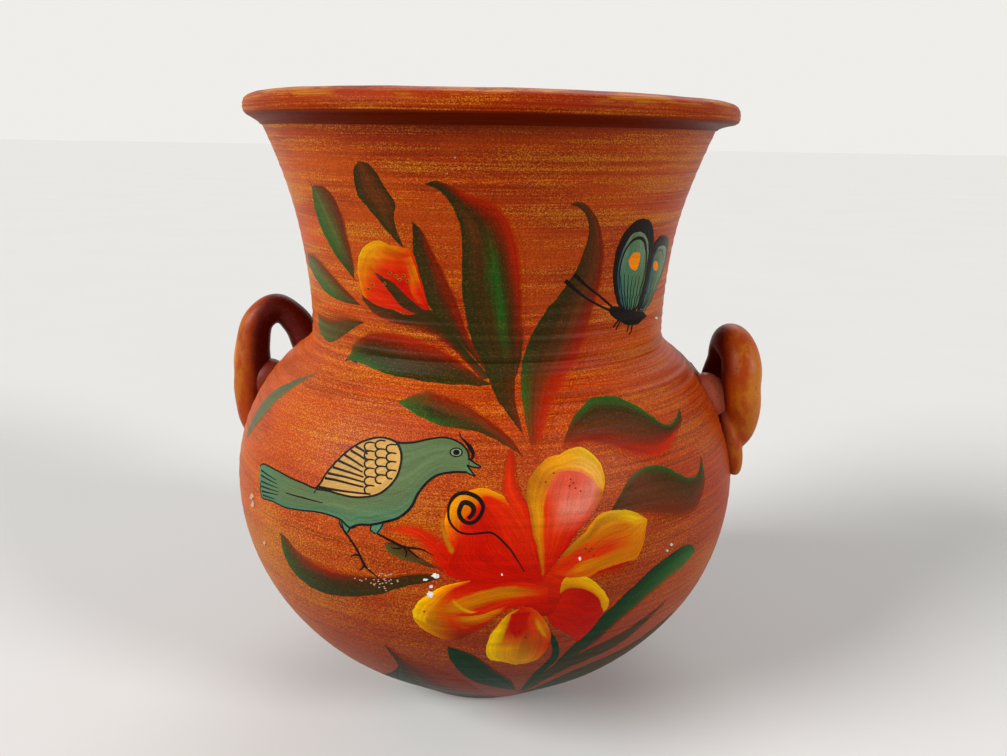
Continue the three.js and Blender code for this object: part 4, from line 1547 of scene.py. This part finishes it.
FOOT_UNDER = (
    "522,607 512,612 505,618 497,626 491,634 488,644 486,654 490,660 503,663 517,666",
    "522,607 531,608 539,614 546,622 550,632 550,642 546,652 538,660 528,664 517,666",
)
foot_under = stroke(*FOOT_UNDER,
                    "0 0:red 1:scarlet; .35 0:ochre .35:red .65:scarlet 1:orange; "
                    ".6 0:lemon .35:amber .6:ochre 1:scarlet; "
                    ".8 0:lemon .35:amber .7:amber 1:orange; 1 0:yellow 1:amber")
FOOT_LEFT = (
    "520,609 511,613 504,619 497,627 491,635 487,645 487,655 491,661 503,662",
    "520,609 515,617 511,625 508,633 505,641 504,648 504,653 504,658 503,662",
)
foot_left = stroke(*FOOT_LEFT, "0 0:amber:.7 1:red:.1; .4 0:lemon .5:lemon 1:ochre:0; 1 0:lemon 1:amber:.3")
FOOT_WEDGE = ("511,614 510,622 512,632 517,642", "531,612 527,620 525,630 517,642")
foot_wedge = stroke(*FOOT_WEDGE, "0 0:red .5:red 1:red:.8; 1 0:red:.7 1:red:.4", fade=(0, 0.25))
FOOT_RIGHT = ("530,616 533,625 538,633 546,641", "539,613 545,621 549,631 550,642")
foot_right = stroke(*FOOT_RIGHT,
                    "0 0:amber:0 .4:amber:.7 1:orange:0; .6 0:orange:0 .4:amber:.8 1:orange:0",
                    fade=(0.3, 0.3))
LEFT_RIDGE = ("447,596 452,605 460,612 470,615 484,611", "452,595 458,602 465,607 473,610 484,610")
left_ridge = stroke(*LEFT_RIDGE,
                    "0 0:orange:0 .5:yellow:.8 1:orange:0; 1 0:orange:0 .5:amber:.7 1:orange:0",
                    fade=(0.3, 0.3))
LEFT_CREASE = ("440,612 447,621 456,628 466,631 478,627", "445,611 451,618 459,623 467,626 478,625")
left_crease = stroke(*LEFT_CREASE,
                     "0 0:scarlet:0 .5:scarlet:.6 1:scarlet:0; 1 0:orange:0 .5:scarlet:.6 1:orange:0",
                     fade=(0.3, 0.3))
print("Strokes laid up to the lower petals:", len(laid))

# %% Flower
PETAL_PITS = [(571, 479), (574, 483), (570, 486), (576, 488), (581, 491), (424, 612), (590, 552),
              (586, 549), (594, 556), (519, 632), (526, 638), (554, 473), (546, 482), (592, 549)]
PETAL_PIT = (1.0, 0.9)
painted("flower", [
    [smear, low_red], [haze, heart], [fold_under, foot_under], [fold_side, left_under],
    [fold_rim, left_upper, foot_left, side_shadow], [spike, left_lower, foot_right, low_crescent],
    [tall_under, left_tip, left_ridge, left_crease, foot_wedge],
    [tall_stripe, side_under], [tall_cap, side_upper, side_lower],
    [dot(*pit, *PETAL_PIT, "brown", PIT_UNEVEN) for pit in PETAL_PITS],
], lift=0.1)

# %% [markdown]
# ## The spiral
#
# A black tendril was drawn over the flower in one go, pressed hard in the middle and lifted at the end. A
# line is a narrow stroke with three points across, and its widths, in pixels, are shared out along it.

# %% Spiral
SPIRAL_PATH = (
    "468,519 473,513 473,507 468,503 463,503 460,508 459,514 462,520 467,523 472,523 478,519 482,512 "
    "483,506 479,499 473,495 466,493 458,494 452,499 449,505 448,513 449,520 453,527 459,532 466,534 "
    "475,534 484,533 491,533 498,537 505,544 512,552 517,560 521,566 524,572"
)
painted("spiral", [[
    line(SPIRAL_PATH, "3.6 5 5 4.2 4 3.6 4 4.4 4.2 3 2.4 2.2 2.2 2 2 2 1.8 1.6 1.2 0.8"),
]], lift=0.222)

# %% [markdown]
# ## The bird
#
# The bird is flat grey-green paint with a cream wing, and all its drawing is in thin black lines laid on
# top. Body, wing and lines are separate strokes of one piece, each a little higher than the last.

# %% Bird's body and wing
BIRD_TOP = (
    "259,466 262,464 277,471 290,478 302,483 315,488 318,485 328,470 342,455 355,445 368,439 380,437 "
    "390,439 397,442 413,442 427,439 442,437 453,439 463,445 468,452 469,460"
)
BIRD_BELOW = (
    "259,482 261,497 267,500 273,502 283,507 298,510 315,512 328,515 340,520 350,528 358,525 370,525 "
    "385,522 398,518 410,508 418,493 427,482 437,475 452,472 467,472"
)
WING_TOP = "316,489 328,470 342,455 355,445 368,439 380,437 390,439 396,442"
WING_BELOW = (
    "316,489 328,491 338,494 352,497 365,497 378,494 388,487 396,477 400,465 401,455 399,447 396,442"
)
bird_body = stroke(BIRD_TOP, BIRD_BELOW,
                   "0 0:teal 1:teal; .2 0:sage .7:sage 1:teal; .6 0:sage .75:sage 1:teal; 1 0:sage 1:sage",
                   ragged=0.02)
UPPER_BILL = ("469,460 481,467 474,467 467,465", "469,460 470,463 468,465 467,465")
LOWER_BILL = ("467,465 475,476 470,474", "466,467 467,472 470,474")
LEFT_THIGH = ("338,519 350,529 346,533", "338,519 341,528 346,533")
RIGHT_THIGH = ("370,525 371,532 377,535", "384,523 381,530 377,535")
bird_ends = [
    stroke(*UPPER_BILL, "teal", ragged=0.0),
    stroke(*LOWER_BILL, "teal", ragged=0.0),
    stroke(*LEFT_THIGH, "teal", ragged=0.0),
    stroke(*RIGHT_THIGH, "teal", ragged=0.0),
]
bird_wing = stroke(WING_TOP, WING_BELOW,
                   "0 0:buff 1:buff; .35 0:buff .6:cream 1:cream; 1 0:cream 1:cream", ragged=0.02)
print("Strokes laid up to the wing:", len(laid))

# %% Bird's lines
BIRD_LINES = {
    "upper_bill": ("468,458 475,463 481,467 474,467 467,465", "1.8 1.6 1.4 1.8"),
    "lower_bill": ("467,465 471,471 475,476 470,474 466,472", "1.8 1.4 1.4 1.4"),
    "tail_fold": ("285,493 303,498 322,503", "1 1.6 1"),
    "crest": ("459,431 461,437 465,441 470,447 473,454 471,460", "0.8 1.4 2.6 4.4 3.6 1.6"),
    "left_leg": ("341,521 343,530 350,540 358,553 365,567 378,578", "1.6 2.4 2.4 2.8 2.2 1"),
    "left_thigh_back": ("339,519 340,526 346,533", "1.4 1.8 1.4"),
    "left_thigh_front": ("356,525 350,528 347,533", "1.8 1.8 1.4"),
    "right_thigh_back": ("371,525 370,530 375,534", "1.6 1.6 1.4"),
    "right_thigh_front": ("383,523 380,529 376,534", "1.6 1.6 1.4"),
    "wing_tip": ("313,493 318,486 322,480", "1 1.8 2"),
    "left_spur": ("350,557 355,555 359,556", "0.8 1.8 2"),
    "left_toe": ("359,571 363,567 364,563", "0.8 1.8 2"),
    "right_leg": ("377,534 390,541 403,547 422,550 433,556", "2 2.6 2.4 2 0.8"),
    "right_spur": ("403,547 397,549 391,548", "2 1.6 0.8"),
    "right_toe_back": ("403,547 406,552 405,558", "2 1.6 0.8"),
    "right_toe_front": ("405,547 412,553 418,559", "2 1.6 0.8"),
}
FEATHERS = ["324,478 335,480 363,487", "327,473 345,477 363,482", "332,467 348,472 363,477",
            "337,460 350,466 362,472", "343,454 354,461 363,467", "350,450 360,456 367,461",
            "355,446 362,450 367,454", "318,487 342,491 367,494"]
TAIL_LINES = ["260,470 275,480", "260,475 276,484", "260,481 277,488", "260,486 278,492",
              "261,491 277,495", "262,495 274,499"]
SCALE_COLUMNS = [(366, 442, 6), (377, 440, 5), (388, 444, 4)]
SCALE_TALL = 8.7
SCALE_BEND = [(8, 0.5), (2, 0), (-1.5, 2), (-2.2, 5), (-0.5, 8), (4, 8.7)]
# Middle, and half the width and height.
EYE_RING, EYE_WHITE, EYE_PUPIL = (456, 452, 6.7, 4.9), (456, 452, 5.3, 3.6), (456.3, 452, 3.4, 2.8)
bird_lines = [
    line(BIRD_TOP, "1.6 1.6 1.8 2.4 2.4 2.4 2 1.8"),
    line(BIRD_BELOW, "1.6 1.4 1.5 1.7 2.4 2.8 2.6 2"),
    line(WING_BELOW, "2.2 2.2 2.4 2.6"),
    *[line(*drawn) for drawn in BIRD_LINES.values()],
]
bird_lines += [line(feather, "2.7 2.3 1.8") for feather in FEATHERS]
bird_lines += [line(tail, "2 1.4 0.7") for tail in TAIL_LINES]
for x, top, count in SCALE_COLUMNS:
    for row in range(count):
        bird_lines.append(line(SCALE_BEND + np.array([x, top + row * SCALE_TALL]), "1.5 1.9 2 1.7"))
eye_ring = dot(*EYE_RING, "black")
eye_white = dot(*EYE_WHITE, "mist")
eye_pupil = dot(*EYE_PUPIL, "black")
painted("bird", [
    [bird_body], bird_ends, [bird_wing], bird_lines, [eye_ring], [eye_white], [eye_pupil],
], lift=0.07)

# %% [markdown]
# ## The butterfly
#
# Two folded wings, nearly black at the edge, with a pale arc, a grey-green field, thin veins and one orange
# spot each. The body, legs and feelers are single black strokes that thin out where the brush was lifted.

# %% Butterfly
VEINS = ["625,310 622,292 621,276", "627,310 625,292 625,274", "628,310 628,292 629,275",
         "630,310 631,292 633,276", "631,310 634,292 637,276", "633,310 637,293 640,276",
         "634,310 639,295 643,280"]
FAR_VEINS = ["641,309 647,292 651,276", "642,309 650,292 654,276", "643,309 652,292 657,277",
             "644,309 654,292 660,276"]
FAR_WING = (
    "662,236 656,243 652,252 648,270 644,288 640,303 638,311",
    "662,236 667,236 670,240 669,250 666,263 662,276 657,289 651,303 646,311",
)
far_wing = stroke(*FAR_WING,
                  "0 0:black 1:slate; .12 0:black .6:black 1:slate; .4 0:black .8:slate 1:slate; "
                  "1 0:black 1:slate", ragged=0.02)
FAR_FIELD = (
    "660,247 655,256 651,272 647,289 643,303 641,310",
    "660,247 665,246 667,251 665,262 661,275 656,289 649,303 645,310",
)
far_field = stroke(*FAR_FIELD,
                   "0 0:mist 1:mist; .3 0:blue .4:sage .8:mist 1:mist; 1 0:blue .7:sage 1:mist", ragged=0.0)
NEAR_WING = (
    "645,219 638,221 631,227 625,234 621,242 617,252 615,264 614,276 615,289 618,302 622,311",
    "645,219 651,221 654,228 655,238 654,250 651,263 648,276 645,289 641,302 636,312",
)
near_wing = stroke(*NEAR_WING, "black", ragged=0.02)
NEAR_FIELD = (
    "641,232 634,234 629,240 624,249 620,261 618,276 619,290 622,304 626,310",
    "641,232 646,235 649,243 649,254 647,266 645,279 642,291 638,304 634,310",
)
near_field = stroke(*NEAR_FIELD,
                    "0 0:mist 1:mist; .15 0:mist .15:sage 1:mist; .35 0:blue .1:mist .3:teal 1:mist; "
                    ".6 0:blue .2:teal 1:sage; 1 0:blue .5:teal 1:teal", ragged=0.0)
NEAR_LINE = (
    "620,290 620,272 623,258 627,249 632,242 638,238.5 643,239 646,244 647,255 646,268 643,283 640,296"
)
near_line = line(NEAR_LINE, "0.8 1.8 2.2 2.4 2.8 3.4 3.8 3.4 2.4 2 1.6 1")
NEAR_SPOT = ("629,261 633,254 640,253 641,258", "629,261 631,268 637,270 641,258")
near_spot = stroke(*NEAR_SPOT, "marigold", ragged=0.0)
FLY_BODY = (
    "609,310 613,307 619,307 623,309 634,311 644,312 647,317",
    "609,310 613,316 620,321 629,325 639,324 643,320 647,317",
)
fly_body = stroke(*FLY_BODY, "black", ragged=0.03)
FLY_LEGS = ["619,320 614,328", "621,321 617,330", "631,323 627,332", "634,323 630,335"]
FEELERS = ["611,311 591,301 577,291 566,281", "613,307 600,296 587,286 575,275"]
FAR_SPOT = (656.4, 266, 2.6, 5)
FAR_ARC = "653,266 655,257 659,251 663,251 664,258 662,268"
painted("butterfly", [
    [far_wing], [far_field],
    [line(FAR_ARC, "1 1.6 1.8 1.8 1.6 0.8", "slate"),
     dot(*FAR_SPOT, "marigold"), *[line(vein, "1.5 1.3 0.7") for vein in FAR_VEINS]],
    [near_wing], [near_field],
    [near_line, near_spot, *[line(vein, "1.8 1.5 0.8") for vein in VEINS]],
    [fly_body, *[line(leg, "2 1") for leg in FLY_LEGS],
     *[line(feeler, "2 2 2.4 4.2") for feeler in FEELERS]],
], lift=0.156)

# %% [markdown]
# ## Chips and scratches
#
# Knocks have taken small flakes of paint off and left the pale under-layer. They are uneven flecks, laid
# last. A thin line of slip still shows where the right handle was pressed on.

# %% Chips
CHIPS = [(435, 576, 3.6, 2.6), (430, 595, 4, 3), (431, 587, 1.8, 1.4), (425, 580, 2.6, 0.9),
         (672, 545, 1.6, 1.4), (668, 551, 1.2, 1), (657, 318, 1.1, 1.1),
         (580, 559, 1.4, 1.8), (502, 575, 0.8, 1)]
RUBS = [(251, 496, 1.8, 3), (252, 504, 1.3, 3.4), (264, 543, 1.2, 2.6), (455, 158, 1, 0.8),
        (447, 174, 0.7, 0.7)]
CHIP_UNEVEN = 0.35
SCUFF_MIDDLE, SCUFF_SPREAD, SCUFF_COUNT = (381, 580), (11, 4.5), 34
SCUFF_SIZE, SCUFF_UNEVEN, SCUFF_POINTS = (0.9, 0.45), 0.4, 5
scuffs = brush_rng.normal(SCUFF_MIDDLE, SCUFF_SPREAD, (SCUFF_COUNT, 2))
SLIP_PATH = "697,362 703,372 709,384 714,396 718,408"
painted("chips", [
    [dot(*chip, "white", CHIP_UNEVEN) for chip in CHIPS] + [dot(*rub, "chalk", CHIP_UNEVEN) for rub in RUBS]
    + [dot(*scuff, *SCUFF_SIZE, "chalk", SCUFF_UNEVEN, SCUFF_POINTS) for scuff in scuffs]
    + [line(SLIP_PATH, "1 2.6 3 2.8 1.2", "slip")],
], lift=0.24)

# %% [markdown]
# ## Floor and light
#
# A pale floor and a pale surround stand in for a plain studio. Broad suns give soft, even light at any
# distance: the main one from the left models the neck and shoulder, a weaker one from the right puts a soft
# shine on the belly, and a faint one lights the back. The world is pale to the camera and dimmer as a
# light, so the colours stay deep.

# %% Studio
FLOOR_HALF = 30.0
FLOOR_BELOW = 0.0002
FLOOR_SEEN, FLOOR_BOUNCE = ("d4d3d1", "dad9d7"), "8c8b88"
FLOOR_ROUGH = 0.7
SKY_COLOUR = "fbf9f5"
# Name, degrees to the right of the camera, degrees up, breadth in degrees, and strength.
LAMPS = [("key", -62.0, 28.0, 30.0, 3.5), ("fill", 56.0, 22.0, 18.0, 1.9), ("back", 170.0, 45.0, 40.0, 0.8)]
SKY_SEEN, SKY_LIGHT = 0.9, 0.28


def seen_rays(tree):
    """One for rays from the camera, also by way of gloss or glass, and nothing for the light that spreads."""
    kind = add(tree, "LightPath").outputs
    seen = sums(tree, "MAXIMUM", kind["Is Camera Ray"], kind["Is Glossy Ray"])
    return sums(tree, "MAXIMUM", seen, kind["Is Transmission Ray"])


def floor_piece():
    """A wide level floor just under the foot, paler to the camera than to the light that it returns."""
    corners = [(-1, -1), (1, -1), (1, 1), (-1, 1)]
    mesh = bpy.data.meshes.new("floor")
    points = [(x * FLOOR_HALF, y * FLOOR_HALF, -FLOOR_BELOW) for x, y in corners]
    mesh.from_pydata(points, [], [(0, 1, 2, 3)])
    made = bpy.data.objects.new("floor", mesh)
    bpy.context.scene.collection.objects.link(made)
    finish, tree, shader = new_finish("pale_floor", spec=0.0)
    cloud = grain(tree, place_in_mm(tree), (0.004, 0.004, 0.004), 3.0)
    pale = blend(tree, cloud, *map(tint, FLOOR_SEEN))
    tree.links.new(blend(tree, seen_rays(tree), tint(FLOOR_BOUNCE), pale), shader.inputs["Base Color"])
    shader.inputs["Roughness"].default_value = FLOOR_ROUGH
    mesh.materials.append(finish)


def soft_lamp(name, side, height, breadth, strength):
    """A broad sun from some degrees to the right of the camera and some degrees up."""
    data = bpy.data.lights.new(name, "SUN")
    data.angle, data.energy = math.radians(breadth), strength
    lamp = bpy.data.objects.new(name, data)
    heading = math.radians(side + CAMERA_HEADING - 90)
    rise = math.radians(height)
    level = math.cos(rise)
    towards = Vector((level * math.cos(heading), level * math.sin(heading), math.sin(rise)))
    lamp.matrix_world = (-towards).to_track_quat("-Z", "Y").to_matrix().to_4x4()
    bpy.context.scene.collection.objects.link(lamp)


floor_piece()
for lamp in LAMPS:
    soft_lamp(*lamp)
world = bpy.data.worlds.new("studio")
bpy.context.scene.world = world
world.use_nodes = True
sky = world.node_tree.nodes["Background"]
sky.inputs["Color"].default_value = tint(SKY_COLOUR)
strength = span(world.node_tree, seen_rays(world.node_tree), 0, 1, SKY_LIGHT, SKY_SEEN)
world.node_tree.links.new(strength, sky.inputs["Strength"])
bpy.context.scene.view_settings.view_transform = "Standard"
print("Lamps:", [lamp[0] for lamp in LAMPS])
